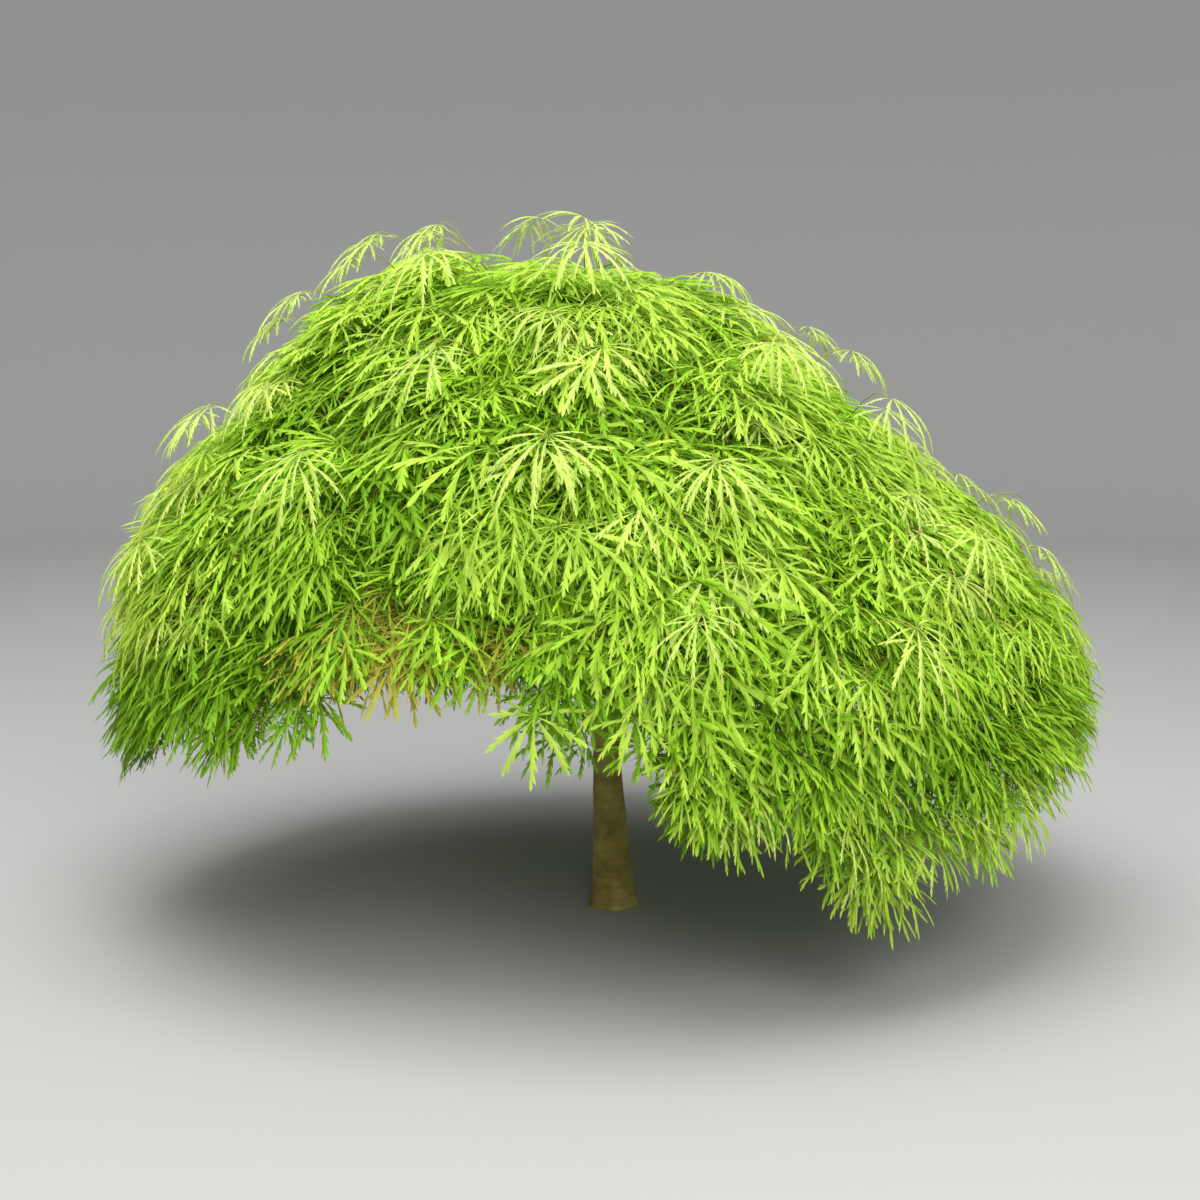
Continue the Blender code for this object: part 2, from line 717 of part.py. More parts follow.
def main():
    for obj in list(bpy.data.objects):
        bpy.data.objects.remove(obj)
    parts = bpy.data.collections.new("laceleaf_maple")
    cutters = bpy.data.collections.new("cutters")
    for collection in (parts, cutters):
        bpy.context.scene.collection.children.link(collection)
    bark, young_bark = plain_material(*BARK), plain_material(*YOUNG_BARK)
    green = plain_material(*LEAF_GREEN)
    section = triangle_profile(cutters)
    section.hide_render = True
    limbs, masses = skeleton()
    reach = Reach(limbs, masses)
    for limb in limbs:
        thick = limb.radii[0] > SHOULDER_RADII[0]
        limb_object(limb, parts, cutters, bark if thick else young_bark)
    for mass in masses:
        mass_object(mass, reach, section, parts, green)


main()
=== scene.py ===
"""The dressed model of a weeping laceleaf maple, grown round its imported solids.

Metres, +Z up, the tree's front towards -Y, the origin at the middle of the trunk's flat cut.
The limbs, the crown's outline and the twigs of each mass follow the same rule as the solids. The
twigs are then carried to finer ones, which end in sprays of cut leaves within the same reach.
"""

import functools
import json
import math
import random
from collections import namedtuple

import bmesh
import bpy
import numpy as np
from bpy.props import FloatProperty, FloatVectorProperty, IntProperty, PointerProperty
from mathutils import Matrix, Vector, noise
from mathutils.kdtree import KDTree

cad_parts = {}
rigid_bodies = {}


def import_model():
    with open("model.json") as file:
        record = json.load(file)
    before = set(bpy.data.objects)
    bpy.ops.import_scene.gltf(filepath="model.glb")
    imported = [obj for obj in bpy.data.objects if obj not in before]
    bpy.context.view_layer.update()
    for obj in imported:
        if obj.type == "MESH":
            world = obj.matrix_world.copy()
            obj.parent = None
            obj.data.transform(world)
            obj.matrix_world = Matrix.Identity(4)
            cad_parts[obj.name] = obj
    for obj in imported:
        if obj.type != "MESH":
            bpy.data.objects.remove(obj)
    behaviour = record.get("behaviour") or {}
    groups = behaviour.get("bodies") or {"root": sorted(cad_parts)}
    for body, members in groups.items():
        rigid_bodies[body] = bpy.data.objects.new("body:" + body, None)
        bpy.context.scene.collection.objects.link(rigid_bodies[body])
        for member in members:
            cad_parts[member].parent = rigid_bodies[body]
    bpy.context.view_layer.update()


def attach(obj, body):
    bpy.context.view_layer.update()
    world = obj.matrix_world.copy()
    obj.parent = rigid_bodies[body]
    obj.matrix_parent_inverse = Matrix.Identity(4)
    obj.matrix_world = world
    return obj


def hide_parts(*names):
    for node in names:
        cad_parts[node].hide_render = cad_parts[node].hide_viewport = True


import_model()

bl_info = {
    "name": "Weeping Laceleaf Maple",
    "version": (1, 0, 0),
    "blender": (4, 5, 0),
    "location": "View3D > Sidebar > Laceleaf Maple",
    "description": "Grows the bark, twigs and cut leaves of a weeping maple round its solids",
    "category": "Object",
}

# Crown: a dome that is rounder on its left than on its right
CROWN_TOP = 1.42
CROWN_CAP = 1.386
CROWN_WAIST = 0.50
CROWN_AXIS_X = -0.03
CROWN_HALF_LEFT = 1.005
CROWN_HALF_RIGHT = 1.040
CROWN_HALF_DEPTH = 0.90
CROWN_HEART_Z = 0.35
DOME_POWER_LEFT, DOME_ROOT_LEFT = 2.4, 2.0
DOME_POWER_RIGHT, DOME_ROOT_RIGHT = 1.5, 1.2
TUCK_UNDER = 0.12
# Hollows under the dome's shoulders: azimuth and its spread, height and its spread, and depth
HOLLOWS = ((180, 50, 1.08, 0.16, 0.090), (0, 45, 0.97, 0.15, 0.035))
UP = np.array((0.0, 0.0, 1.0))
HEART = np.array((CROWN_AXIS_X, 0, CROWN_HEART_Z))

# Skirt: azimuth and height of its lower edge, which arches at the left front, parts before the
# trunk and hangs lowest at the right front
SKIRT_STATIONS = np.array((
    (0, 0.30), (180, 0.28), (212, 0.42), (226, 0.38), (242, 0.55), (254, 0.56), (261, 0.45),
    (271, 0.51), (279, 0.28), (290, 0.32), (305, 0.14), (320, 0.22), (340, 0.30), (360, 0.30),
))
ARCH_AZIMUTH, ARCH_SPREAD = 247, 14

# Tiers: each hangs over the next one like a shingle, from its floor's height at the rim
TOP_FLOOR = 1.03
SHOULDER_FLOOR = 0.79
MIDDLE_FLOOR = 0.52
SHINGLE_SLOPE = 0.7
SHINGLE_RISE = 0.12
# Seams between tiers: height of their wave, and how it turns with azimuth, distance and height.
# Seams between sectors: wave in degrees, and how it turns with height
SEAM_WAVE, SEAM_TURNS = 0.028, (7, 9, 5)
SECTOR_WAVE, SECTOR_TURN = 3, 11
HUB_RADIUS = 0.20
SPACE_MARGIN = 0.004

# Trunk, as height, lean and radius
TRUNK_STATIONS = (
    (0.00, 0.000, 0.0470),
    (0.02, 0.000, 0.0440),
    (0.06, -0.001, 0.0415),
    (0.12, -0.003, 0.0380),
    (0.19, -0.007, 0.0335),
    (0.26, -0.011, 0.0300),
    (0.34, -0.013, 0.0280),
    (0.42, -0.012, 0.0275),
    (0.49, -0.009, 0.0262),
    (0.505, -0.008, 0.0215),
    (0.512, -0.008, 0.0120),
)
FLARE_HEIGHT = 0.10
BUTTRESSES = 5
BUTTRESS_DEPTH = 0.16

# Limbs
CLEARANCE = 0.0003
MAIN_AZIMUTHS = {"back": 90, "left": 210, "right": 330}
MAIN_FORKS = {"back": 0.47, "left": 0.43, "right": 0.38}
MAIN_RADII = (0.0185, 0.0075)
MAIN_BENDS = ((0, 0.17, 0.56), (-12, 0.20, 0.86), (0, 0.16, 1.13))
LIMB_POINTS = 8
CROOK, CROOK_LIFT, CROOK_TURNS = 0.022, 0.6, (2.6, 2.1)
# Branches of the lower tiers: radii, points, height at which the crown's reach is taken, rise over
# the fork to a bend of no height, and bends as shares of the reach and heights
Branch = namedtuple("Branch", "radii points reach_height rise bends")
BRANCHES = {
    "shoulder": Branch((0.0085, 0.0050), 6, 0.98, 0.10, ((0.30, None), (0.48, 1.01))),
    "middle": Branch((0.0105, 0.0052), 8, 0.70, 0.16, ((0.26, None), (0.42, 0.84), (0.58, 0.76))),
    "skirt": Branch((0.0068, 0.0042), 6, 0.45, 0.0, ((0.50, 0.67), (0.62, 0.54))),
}
# Masses of the top: half sector, height at which the crown's reach is taken, and the stem's bends
# as shares of that and heights, each at the crown's right and at its left
TOP_HALF_SECTOR, TOP_REACH_HEIGHTS = 60, (1.13, 1.22)
TOP_BENDS = (((0.40, 0.40), (1.40, 1.51)), ((0.64, 0.74), (1.16, 1.25)))
# Masses of the lower tiers: half sector in degrees, floor and ceiling, and the stem's bends as
# shares of the crown's reach, the height at which that is taken, and height. None is the skirt's
# edge for a floor, and just over it for a bend
MASS_TWIGS = 5
SKIRT_STEM_END = 0.15
Foliage = namedtuple("Foliage", "half_sector floor ceiling bends")
MASSES = {
    "shoulder": Foliage(30, SHOULDER_FLOOR, TOP_FLOOR, ((0.72, 1.0, 1.15), (0.88, 0.96, 0.96))),
    "middle": Foliage(25.7, MIDDLE_FLOOR, SHOULDER_FLOOR, ((0.84, 0.74, 0.83), (0.91, 0.62, 0.70))),
    "skirt": Foliage(25.7, None, MIDDLE_FLOOR, ((0.84, 0.48, 0.54), (0.91, None, None))),
}

# Twigs of each mass, as in the solids. One that finds no room is tried again shorter
STEM_POINTS = 5
STEM_LEAD = 0.014
STEM_END_RADIUS = 0.0030
TWIG_RADII = (0.0040, 0.0028)
TWIG_SHARES = (0.22, 0.92)
TWIG_REACH, LONGEST_TWIG = 0.62, 0.26
TWIG_LENGTHS = (0.8, 1.1)
TWIG_TRIES = (1, 0.75, 0.5)
TWIG_DROOP, TWIG_OUT, TWIG_BEND, TWIG_ARCH = (0.0, 0.3), 0.12, 0.55, 0.02
SHELL = 0.87
LIMB_CLEAR = 0.009
SEED = 11
# Twigs of the crest, which leave before the stem's middle and rise
HUB_TWIGS, HUB_TWIG_LENGTH = 2, 1.3
HUB_TWIG_SHARE, HUB_TWIG_STEP, HUB_TWIG_RISE, HUB_TWIG_ASIDE = 0.30, 0.06, 0.4, 0.5

# Where the branches leave the main boughs, and those of the skirt the middle branches: word,
# azimuth, what carries it, share of the way along that
SHOULDERS = (
    ("right", 0, "right", 0.68),
    ("right_back", 60, "back", 0.60),
    ("left_back", 120, "back", 0.68),
    ("left", 180, "left", 0.60),
    ("front_left", 240, "left", 0.68),
    ("front_right", 300, "right", 0.60),
)
MIDDLES = (
    ("right", 0, "right", 0.42),
    ("right_back", 51, "back", 0.30),
    ("back", 103, "back", 0.42),
    ("left_back", 154, "left", 0.27),
    ("left_front", 206, "left", 0.44),
    ("front", 257, "left", 0.35),
    ("front_right", 309, "right", 0.30),
)
SKIRTS = (
    ("right", 26, "right", 0.42),
    ("right_back", 77, "right_back", 0.42),
    ("left_back", 129, "back", 0.42),
    ("left", 180, "left_back", 0.42),
    ("front", 283, "front", 0.42),
    ("right_front", 335, "front_right", 0.42),
)
TIERS = ("top", "shoulder", "middle", "skirt")
# A limb that starts thicker than this has the boughs' bark
THINNEST_BOUGH = 0.0090

# Tints of the leaves, from the palest new growth to the deepest shade
TINTS = ("new", "lime", "green", "deep", "bronze")


# ---------------------------------------------------------------- settings


def colour_setting(name, description, default):
    return FloatVectorProperty(name=name, description=description, default=default,
                               subtype="COLOR", size=3, min=0, max=1)


def length_setting(name, description, default, low, high):
    return FloatProperty(name=name, description=description, default=default,
                         unit="LENGTH", min=low, max=high)


class MapleWoodSettings(bpy.types.PropertyGroup):
    bark_colour: colour_setting(
        "Bark", "Smooth olive-brown bark of the trunk and boughs", (0.360, 0.285, 0.055))
    lichen_colour: colour_setting(
        "Bark bloom", "Grey-green bloom in patches on the old bark", (0.440, 0.375, 0.110))
    young_colour: colour_setting(
        "Young bark", "Greener bark of the thin branches", (0.165, 0.150, 0.045))
    twig_colour: colour_setting(
        "Twigs", "Tan bark of the twigs and leaf stalks", (0.210, 0.190, 0.055))
    ring_gap: length_setting(
        "Ring gap", "Height between two rings round the trunk's bark", 0.019, 0.005, 0.08)
    ring_height: length_setting(
        "Ring height", "How far the bark's rings stand out", 0.0005, 0, 0.003)


class MapleLeafSettings(bpy.types.PropertyGroup):
    leaf_length: length_setting(
        "Leaf length", "Length of the middle lobe of a full-grown leaf", 0.130, 0.03, 0.2)
    lobe_width: FloatProperty(
        name="Lobe half width", description="Half width of a lobe as a share of its length",
        default=0.042, min=0.01, max=0.2)
    bundle_gap: length_setting(
        "Bundle gap", "Distance between bundles of sprays on the dome", 0.250, 0.12, 0.5)
    bundle_radius: length_setting(
        "Bundle radius", "Reach of one bundle of sprays over the dome", 0.170, 0.05, 0.4)
    sprays: IntProperty(
        name="Sprays", description="Fine sprays in a bundle of middling size",
        default=27, min=3, max=60)
    hands: IntProperty(
        name="Hands", description="Sprays of large, proud leaves in a bundle of middling size",
        default=13, min=3, max=40)
    petiole: length_setting("Leaf stalk", "Length of a leaf's stalk", 0.034, 0.005, 0.1)
    new_colour: colour_setting(
        "New growth", "Pale yellow-green of the newest leaves", (0.600, 0.745, 0.160))
    lime_colour: colour_setting("Lime", "Bright lime of the outer leaves", (0.490, 0.700, 0.070))
    green_colour: colour_setting("Green", "Fresh green of the grown leaves", (0.370, 0.620, 0.032))
    deep_colour: colour_setting(
        "Deep green", "Deeper green of the shaded leaves", (0.235, 0.465, 0.014))
    bronze_colour: colour_setting(
        "Bronze", "Old leaves under the lifted skirt", (0.480, 0.470, 0.050))


class MapleStageSettings(bpy.types.PropertyGroup):
    floor_colour: colour_setting("Floor", "Pale floor and backdrop", (0.36, 0.36, 0.35))
    camera_distance: length_setting(
        "Camera distance", "From the camera to the trunk, over the ground", 3.8, 1, 20)
    camera_height: length_setting("Camera height", "Height of the camera's lens", 1.1833, 0.1, 5)
    camera_pitch: FloatProperty(
        name="Camera pitch", description="How far the camera looks down",
        subtype="ANGLE", default=math.radians(8.235), min=0, max=1.5)
    key_power: FloatProperty(
        name="Overhead light", description="Power of the soft light over the tree, in watts",
        default=350, min=0, max=5000)
    sky_strength: FloatProperty(
        name="Sky", description="Strength of the even light from all round",
        default=1.0, min=0, max=5)


# ---------------------------------------------------------------- the crown's rule


def mixed(a, b, share):
    return a + (b - a) * share


def bump(azimuth, middle, spread):
    """1 at azimuth middle, falling smoothly to 0 on both sides. Degrees."""
    away = (azimuth - middle + 180) % 360 - 180
    return np.exp(-((away / spread) ** 2))


def leftness(azimuth):
    """0 at the tree's right, 1 at its left."""
    return (1 - np.cos(np.radians(azimuth))) / 2


def crown_radius(azimuth, z):
    """How far the crown reaches from its axis at this azimuth (degrees) and height."""
    left = leftness(azimuth)
    angle = np.radians(azimuth)
    half_side = mixed(CROWN_HALF_RIGHT, CROWN_HALF_LEFT, left)
    widest = 1 / np.hypot(np.cos(angle) / half_side, np.sin(angle) / CROWN_HALF_DEPTH)
    rise = np.maximum((z - CROWN_WAIST) / (CROWN_TOP - CROWN_WAIST), 0)
    power = mixed(DOME_POWER_RIGHT, DOME_POWER_LEFT, left)
    root = mixed(DOME_ROOT_RIGHT, DOME_ROOT_LEFT, left)
    dome = np.maximum(0.0, 1 - rise**power) ** (1 / root)
    tuck = 1 - TUCK_UNDER * (np.maximum(CROWN_WAIST - z, 0) / CROWN_WAIST) ** 2
    hollow = sum(depth * bump(azimuth, middle, spread) * np.exp(-(((z - height) / band) ** 2))
                 for middle, spread, height, band, depth in HOLLOWS)
    return np.maximum(widest * dome * tuck - hollow, 0)


def skirt_height(azimuth):
    """Height of the skirt's lower edge, eased from one station to the next."""
    azimuth = np.mod(azimuth, 360)
    places, heights = SKIRT_STATIONS.T
    i = np.clip(np.searchsorted(places, azimuth) - 1, 0, len(places) - 2)
    share = (azimuth - places[i]) / (places[i + 1] - places[i])
    return mixed(heights[i], heights[i + 1], share * share * (3 - 2 * share))


def polar(points):
    """(azimuths in degrees, distances from the crown's axis) of points."""
    x, y = points[..., 0] - CROWN_AXIS_X, points[..., 1]
    return np.degrees(np.arctan2(y, x)), np.hypot(x, y)


def at(azimuth, radius, z):
    """The point at this azimuth, distance from the crown's axis and height."""
    angle = np.radians(azimuth)
    x, y = CROWN_AXIS_X + radius * np.cos(angle), radius * np.sin(angle)
    return np.stack(np.broadcast_arrays(x, y, np.asarray(z, float)), axis=-1)


def unit(vectors):
    return vectors / np.maximum(np.linalg.norm(vectors, axis=-1, keepdims=True), 1e-9)


def dot(a, b):
    """Dot products of rows of vectors, as a column."""
    return np.sum(a * b, axis=-1, keepdims=True)


def outward(points):
    """The dome's outward direction near points, as on an ellipsoid about the crown's heart."""
    half_side = mixed(CROWN_HALF_RIGHT, CROWN_HALF_LEFT, 0.5)
    halves = np.array((half_side, CROWN_HALF_DEPTH, CROWN_TOP - CROWN_HEART_Z))
    return unit((points - HEART) / halves**2)


def downhill(normals):
    """The steepest way down along the dome, where its outward direction is normals."""
    way = normals * normals[..., 2:3] - UP
    flat = normals * np.array((1.0, 1.0, 0.0))
    return unit(np.where(np.linalg.norm(way, axis=-1, keepdims=True) > 0.05, way, flat))


def away(normals):
    """The level way out of the crown, where its outward direction is normals."""
    flat = normals * np.array((1.0, 1.0, 0.0))
    return flat / np.maximum(np.linalg.norm(flat, axis=-1, keepdims=True), 0.25)


def floor_height(rim_height, azimuth, radius):
    """The floor of a tier: it rises inwards from rim_height at the crown's rim, to a shelf."""
    inwards = crown_radius(azimuth, rim_height) - radius
    round_it, out, up = SEAM_TURNS
    wave = SEAM_WAVE * np.sin(np.radians(round_it * azimuth) + out * radius + up * rim_height)
    return rim_height + wave + np.minimum(SHINGLE_RISE, SHINGLE_SLOPE * inwards)


class Space:
    """The room of one mass of foliage: a sector of one tier, inside the crown's outline."""

    def __init__(self, azimuth, half_sector, floor, ceiling, has_hub=False):
        self.azimuth, self.half_sector = azimuth, half_sector
        self.floor, self.ceiling, self.has_hub = floor, ceiling, has_hub

    def holds(self, points):
        azimuth, radius = polar(points)
        z = points[..., 2]
        turned = azimuth + SECTOR_WAVE * np.sin(SECTOR_TURN * z)
        swing = np.radians((turned - self.azimuth + 180) % 360 - 180)
        beside = radius * np.sin(math.radians(self.half_sector) - np.abs(swing))
        if self.has_hub:
            beside = np.maximum(beside, HUB_RADIUS - radius)
        elif self.ceiling is None:
            beside = np.minimum(beside, radius - HUB_RADIUS)
        inside = (beside >= SPACE_MARGIN) & (z <= CROWN_CAP) & (radius <= crown_radius(azimuth, z))
        if self.floor is None:
            above = z - skirt_height(azimuth)
        else:
            above = z - floor_height(self.floor, azimuth, radius)
        inside &= above >= SPACE_MARGIN
        if self.ceiling is not None:
            inside &= floor_height(self.ceiling, azimuth, radius) - z > SPACE_MARGIN
        return inside


def bezier(points, count):
    """count points along the Bezier curve of 3 or 4 control points."""
    share = np.linspace(0, 1, count)[:, None]
    level = [np.asarray(p, float)[None] for p in points]
    while len(level) > 1:
        level = [mixed(a, b, share) for a, b in zip(level, level[1:])]
    return level[0]


def crooked(points, phase):
    """The same route with the slight zigzag of a maple's limb, straight at both ends."""
    made = [points[0]]
    for i, point in enumerate(points[1:-1], 1):
        along = unit(points[i + 1] - points[i - 1])
        side = unit(np.cross(along, UP))
        calm = math.sin(math.pi * i / (len(points) - 1))
        sway = math.sin(CROOK_TURNS[0] * i + phase) * CROOK * calm
        lift = math.cos(CROOK_TURNS[1] * i + phase) * CROOK * CROOK_LIFT * calm
        made.append(point + side * sway + np.cross(side, along) * lift)
    return np.array([*made, points[-1]])


class Limb:
    """One tapering limb: its name, its route and its radii."""

    def __init__(self, name, route, radii, parent=None):
        self.name, self.route, self.parent = name, np.asarray(route, float), parent
        self.radii = np.linspace(*radii, len(route))

    def point(self, share):
        place = share * (len(self.route) - 1)
        i = min(int(place), len(self.route) - 2)
        return mixed(self.route[i], self.route[i + 1], place - i)

    def tip_direction(self):
        return unit(self.route[-1] - self.route[-2])


def trunk_point(height):
    """The middle of the trunk at this height."""
    heights = [z for z, _, _ in TRUNK_STATIONS]
    return np.array((np.interp(height, heights, [x for _, x, _ in TRUNK_STATIONS]), 0, height))


def trunk_limb():
    trunk = Limb("trunk", [(x, 0, z) for z, x, _ in TRUNK_STATIONS], (0, 0))
    trunk.radii = np.array([radius for _, _, radius in TRUNK_STATIONS])
    return trunk


def main_bough(word, trunk):
    azimuth, start = MAIN_AZIMUTHS[word], trunk_point(MAIN_FORKS[word])
    route = [start, *(at(azimuth + turn, radius, z) for turn, radius, z in MAIN_BENDS)]
    return Limb(f"bough_{word}", crooked(bezier(route, LIMB_POINTS), azimuth), MAIN_RADII, trunk)


def branch(tier, word, azimuth, start, parent):
    """A branch of a lower tier, from start on its parent out to its mass of foliage."""
    form = BRANCHES[tier]
    reach = crown_radius(azimuth, form.reach_height)
    route = [start]
    for share, height in form.bends:
        route.append(at(azimuth, share * reach, height or start[2] + form.rise))
    points = crooked(bezier(route, form.points), azimuth)
    return Limb(f"branch_{tier}_{word}", points, form.radii, parent)


class Mass:
    """One mass of foliage: its limb, its space, its stem's route and its number of twigs."""

    def __init__(self, name, limb, space, bends, twigs):
        self.name, self.limb, self.space, self.twigs = name, limb, space, twigs
        tip, way = limb.route[-1], limb.tip_direction()
        start, lead = tip + way * CLEARANCE, tip + way * STEM_LEAD
        self.stem = np.array([start, *bezier([lead, *bends], STEM_POINTS)])
        self.stem_radii = np.linspace(limb.radii[-1] * 0.95, STEM_END_RADIUS, len(self.stem))

    @property
    def tier(self):
        return self.name.split("_")[1]


def top_mass(word, limb):
    azimuth = MAIN_AZIMUTHS[word]
    space = Space(azimuth, TOP_HALF_SECTOR, TOP_FLOOR, None, has_hub=word == "left")
    left = leftness(azimuth)
    reach = crown_radius(azimuth, mixed(*TOP_REACH_HEIGHTS, left))
    bends = [at(azimuth, mixed(*shares, left) * reach, mixed(*heights, left))
             for shares, heights in TOP_BENDS]
    return Mass(f"foliage_top_{word}", limb, space, bends, MASS_TWIGS)


def lower_mass(tier, word, azimuth, limb):
    """A mass of a lower tier, whose stem bends over near the crown's skin. A skirt's ends low."""
    form = MASSES[tier]
    low = skirt_height(azimuth) + SKIRT_STEM_END
    bends = [at(azimuth, share * crown_radius(azimuth, reach or low), height or low)
             for share, reach, height in form.bends]
    space = Space(azimuth, form.half_sector, form.floor, form.ceiling)
    return Mass(f"foliage_{tier}_{word}", limb, space, bends, MASS_TWIGS)


@functools.lru_cache
def skeleton():
    """Every limb from the trunk up, and every mass of foliage at a limb's tip."""
    trunk = trunk_limb()
    mains = {word: main_bough(word, trunk) for word in MAIN_AZIMUTHS}
    limbs = [trunk, *mains.values()]
    masses = [top_mass(word, main) for word, main in mains.items()]
    made = {"main": mains, "shoulder": {}, "middle": {}, "skirt": {}}
    for tier, carrier, rows in (("shoulder", "main", SHOULDERS), ("middle", "main", MIDDLES),
                                ("skirt", "middle", SKIRTS)):
        for word, azimuth, parent_word, fork in rows:
            parent = made[carrier][parent_word]
            limb = branch(tier, word, azimuth, parent.point(fork), parent)
            made[tier][word] = limb
            limbs.append(limb)
            masses.append(lower_mass(tier, word, azimuth, limb))
    return limbs, masses


class Reach:
    """Where the wood is, so that twigs keep clear of it."""

    def __init__(self, limbs, masses):
        wood = [(limb.name, limb.route, limb.radii) for limb in limbs]
        wood += [(m.name, m.stem, [m.stem_radii[0]] * len(m.stem)) for m in masses]
        self.spots = []
        for owner, route, radii in wood:
            for a, b, radius in zip(route, route[1:], radii):
                steps = max(1, round(np.linalg.norm(b - a) / 0.01))
                self.spots += [(mixed(a, b, i / steps), radius, owner) for i in range(steps + 1)]
        self.tree = KDTree(len(self.spots))
        for i, (spot, _, _) in enumerate(self.spots):
            self.tree.insert(spot, i)
        self.tree.balance()
        self.widest = max(radius for _, radius, _ in self.spots)

    def clear(self, a, b, but):
        """True if the line from a to b keeps off all wood but that of the mass named but."""
        steps = max(1, round(np.linalg.norm(b - a) / LIMB_CLEAR))
        for point in (mixed(a, b, i / steps) for i in range(steps + 1)):
            for _, i, distance in self.tree.find_range(point, self.widest + LIMB_CLEAR):
                _, radius, owner = self.spots[i]
                if owner != but and distance < radius + LIMB_CLEAR:
                    return False
        return True


def twig_routes(mass, rng, reach):
    """Side twigs that leave the stem by turns to its left and right and bend over the dome."""
    routes = []
    hub_twigs = HUB_TWIGS if mass.space.has_hub else 0
    for i in range(-hub_twigs, mass.twigs):
        if i >= 0:
            share = mixed(*TWIG_SHARES, i / (mass.twigs - 1))
        else:
            share = HUB_TWIG_SHARE - HUB_TWIG_STEP * i
        place = share * (len(mass.stem) - 1)
        k = min(int(place), len(mass.stem) - 2)
        start = mixed(mass.stem[k], mass.stem[k + 1], place - k)
        normal = outward(start)
        down = downhill(normal)
        side = np.cross(down, normal) * (1 if i % 2 else -1)
        if i < 0:
            down, side = UP * HUB_TWIG_RISE, unit(side * HUB_TWIG_ASIDE - down)
            length = HUB_RADIUS * HUB_TWIG_LENGTH
        else:
            width = polar(start)[1] * math.radians(mass.space.half_sector)
            length = min(LONGEST_TWIG, TWIG_REACH * width) * rng.uniform(*TWIG_LENGTHS)
        for shorter in TWIG_TRIES:
            way = unit(side + down * rng.uniform(*TWIG_DROOP) + normal * TWIG_OUT)
            end = start + way * length * shorter
            azimuth, radius = polar(end)
            end = at(azimuth, min(radius, SHELL * crown_radius(azimuth, end[2])), end[2])
            middle = mixed(start, end, TWIG_BEND) + normal * TWIG_ARCH
            inside = mass.space.holds(np.array((middle, mixed(middle, end, 0.5), end))).all()
            route = np.array((start, middle, end))
            if inside and all(reach.clear(a, b, mass.name) for a, b in zip(route, route[1:])):
                routes.append(route)
                break
    return routes


# ---------------------------------------------------------------- finer growth

# Kinds of spray, from the deepest ones to the young shoots, and the leaves of each kind: share of
# the way along the spray, side of it and size
LINING, BODY, HAND, TUFT, SPRIG = range(5)
SPRAY_LEAVES = {
    LINING: ((1.0, 0, 0.85), (0.90, -1, 0.80), (0.90, 1, 0.80), (0.65, 1, 0.75), (0.65, -1, 0.75)),
    BODY: ((1.0, 0, 0.80), (0.93, -1, 0.76), (0.93, 1, 0.76), (0.70, 1, 0.70), (0.70, -1, 0.70),
           (0.45, -1, 0.62)),
    HAND: ((1.0, 0, 1.05), (0.82, -1, 0.88), (0.82, 1, 0.88)),
    TUFT: ((1.0, 0, 1.16), (0.80, -1, 1.00)),
    SPRIG: ((1.0, 0, 0.84), (0.86, -1, 0.76), (0.70, 1, 0.74)),
}
SPRAY_POINTS, TWIG_POINTS = 5, 8
# A spray's route and tier, how pale its bundle is, its depth under the dome's skin, its place in
# the bundle (0 at the crest, 1 at the rim; 1 downhill, -1 uphill) and its kind
Spray = namedtuple("Spray", "route tier tone depth rho lower kind")

# Forms of leaf: lobes of its three patterns, share of the lobes' half width, teeth on each side,
# how far they bend down and how much the leaf lies along the dome rather than level
Form = namedtuple("Form", "lobes width teeth bend lying")
FINE, BROAD, STRAND, PLAIN = range(4)
FORMS = (Form((7, 7, 7), 0.82, 4, (0.45, 1.05), 0.62),
         Form((7, 7, 9), 1.28, 6, (0.35, 0.90), 0.66),
         Form((7, 9, 7), 0.90, 9, (0.85, 1.40), 0.45),
         Form((7, 7, 7), 1.60, 2, (0.35, 0.90), 0.90))
# Angles and lengths of a leaf's lobes, by their number
LOBES = {7: ((-108, -74, -37, 0, 37, 74, 108), (0.52, 0.80, 0.95, 1.0, 0.95, 0.80, 0.52)),
         9: ((-128, -98, -66, -33, 0, 33, 66, 98, 128),
             (0.42, 0.64, 0.84, 0.96, 1.0, 0.96, 0.84, 0.64, 0.42))}

# The crown's body, which young shoots stand out of: its top, how far its upper part lies inside
# the outline, and how deep the source's stems and twigs are sunk in it
BODY_CAP = 1.335
BODY_INSET = 0.045
BODY_INSET_HEIGHTS = (0.50, 0.95)
STEM_DEPTH, TWIG_DEPTH = 0.135, 0.12
# Search for the skin along a ray: its greatest distance and its halvings
SKIN_FAR, SKIN_STEPS = 1.6, 26
# Scattered places: how many are tried, and how far below the level the rays to them may point
SCATTER_TRIES, SCATTER_LOW = 9000, -0.4

# Bundles: mounds of sprays on the dome and round its rim, each from a hub under the dome's skin.
# Mounds: depth of the crest and the rim under the skin, reach downhill and uphill, and how much
# further in a whole mound lies
RIM_START = 310
RIM_HEIGHT, DOME_HEIGHT, HUB_HEIGHT = 0.13, 0.20, 0.16
HUB_DEPTHS = (0.15, 0.20)
HUB_TWIG_RADII = (0.0028, 0.0020)
BUNDLE_SIZES = (0.75, 1.28)
MOUND_DEPTHS = {BODY: (0.062, 0.135), HAND: (0.026, 0.080)}
MOUND_REACH = (1.30, 0.85)
MOUND_INSET, MOUND_DRIFT, MOUND_JITTER = 0.010, 0.024, (-0.008, 0.022)
LEAST_DEPTH = 0.020
GOLDEN_TURN = math.pi * (3 - math.sqrt(5))
MOUND_SPACING, MOUND_SWIRL = (0.85, 1.15), 0.25
MOUND_TILT, MOUND_ROUGHNESS = 0.026, 0.008
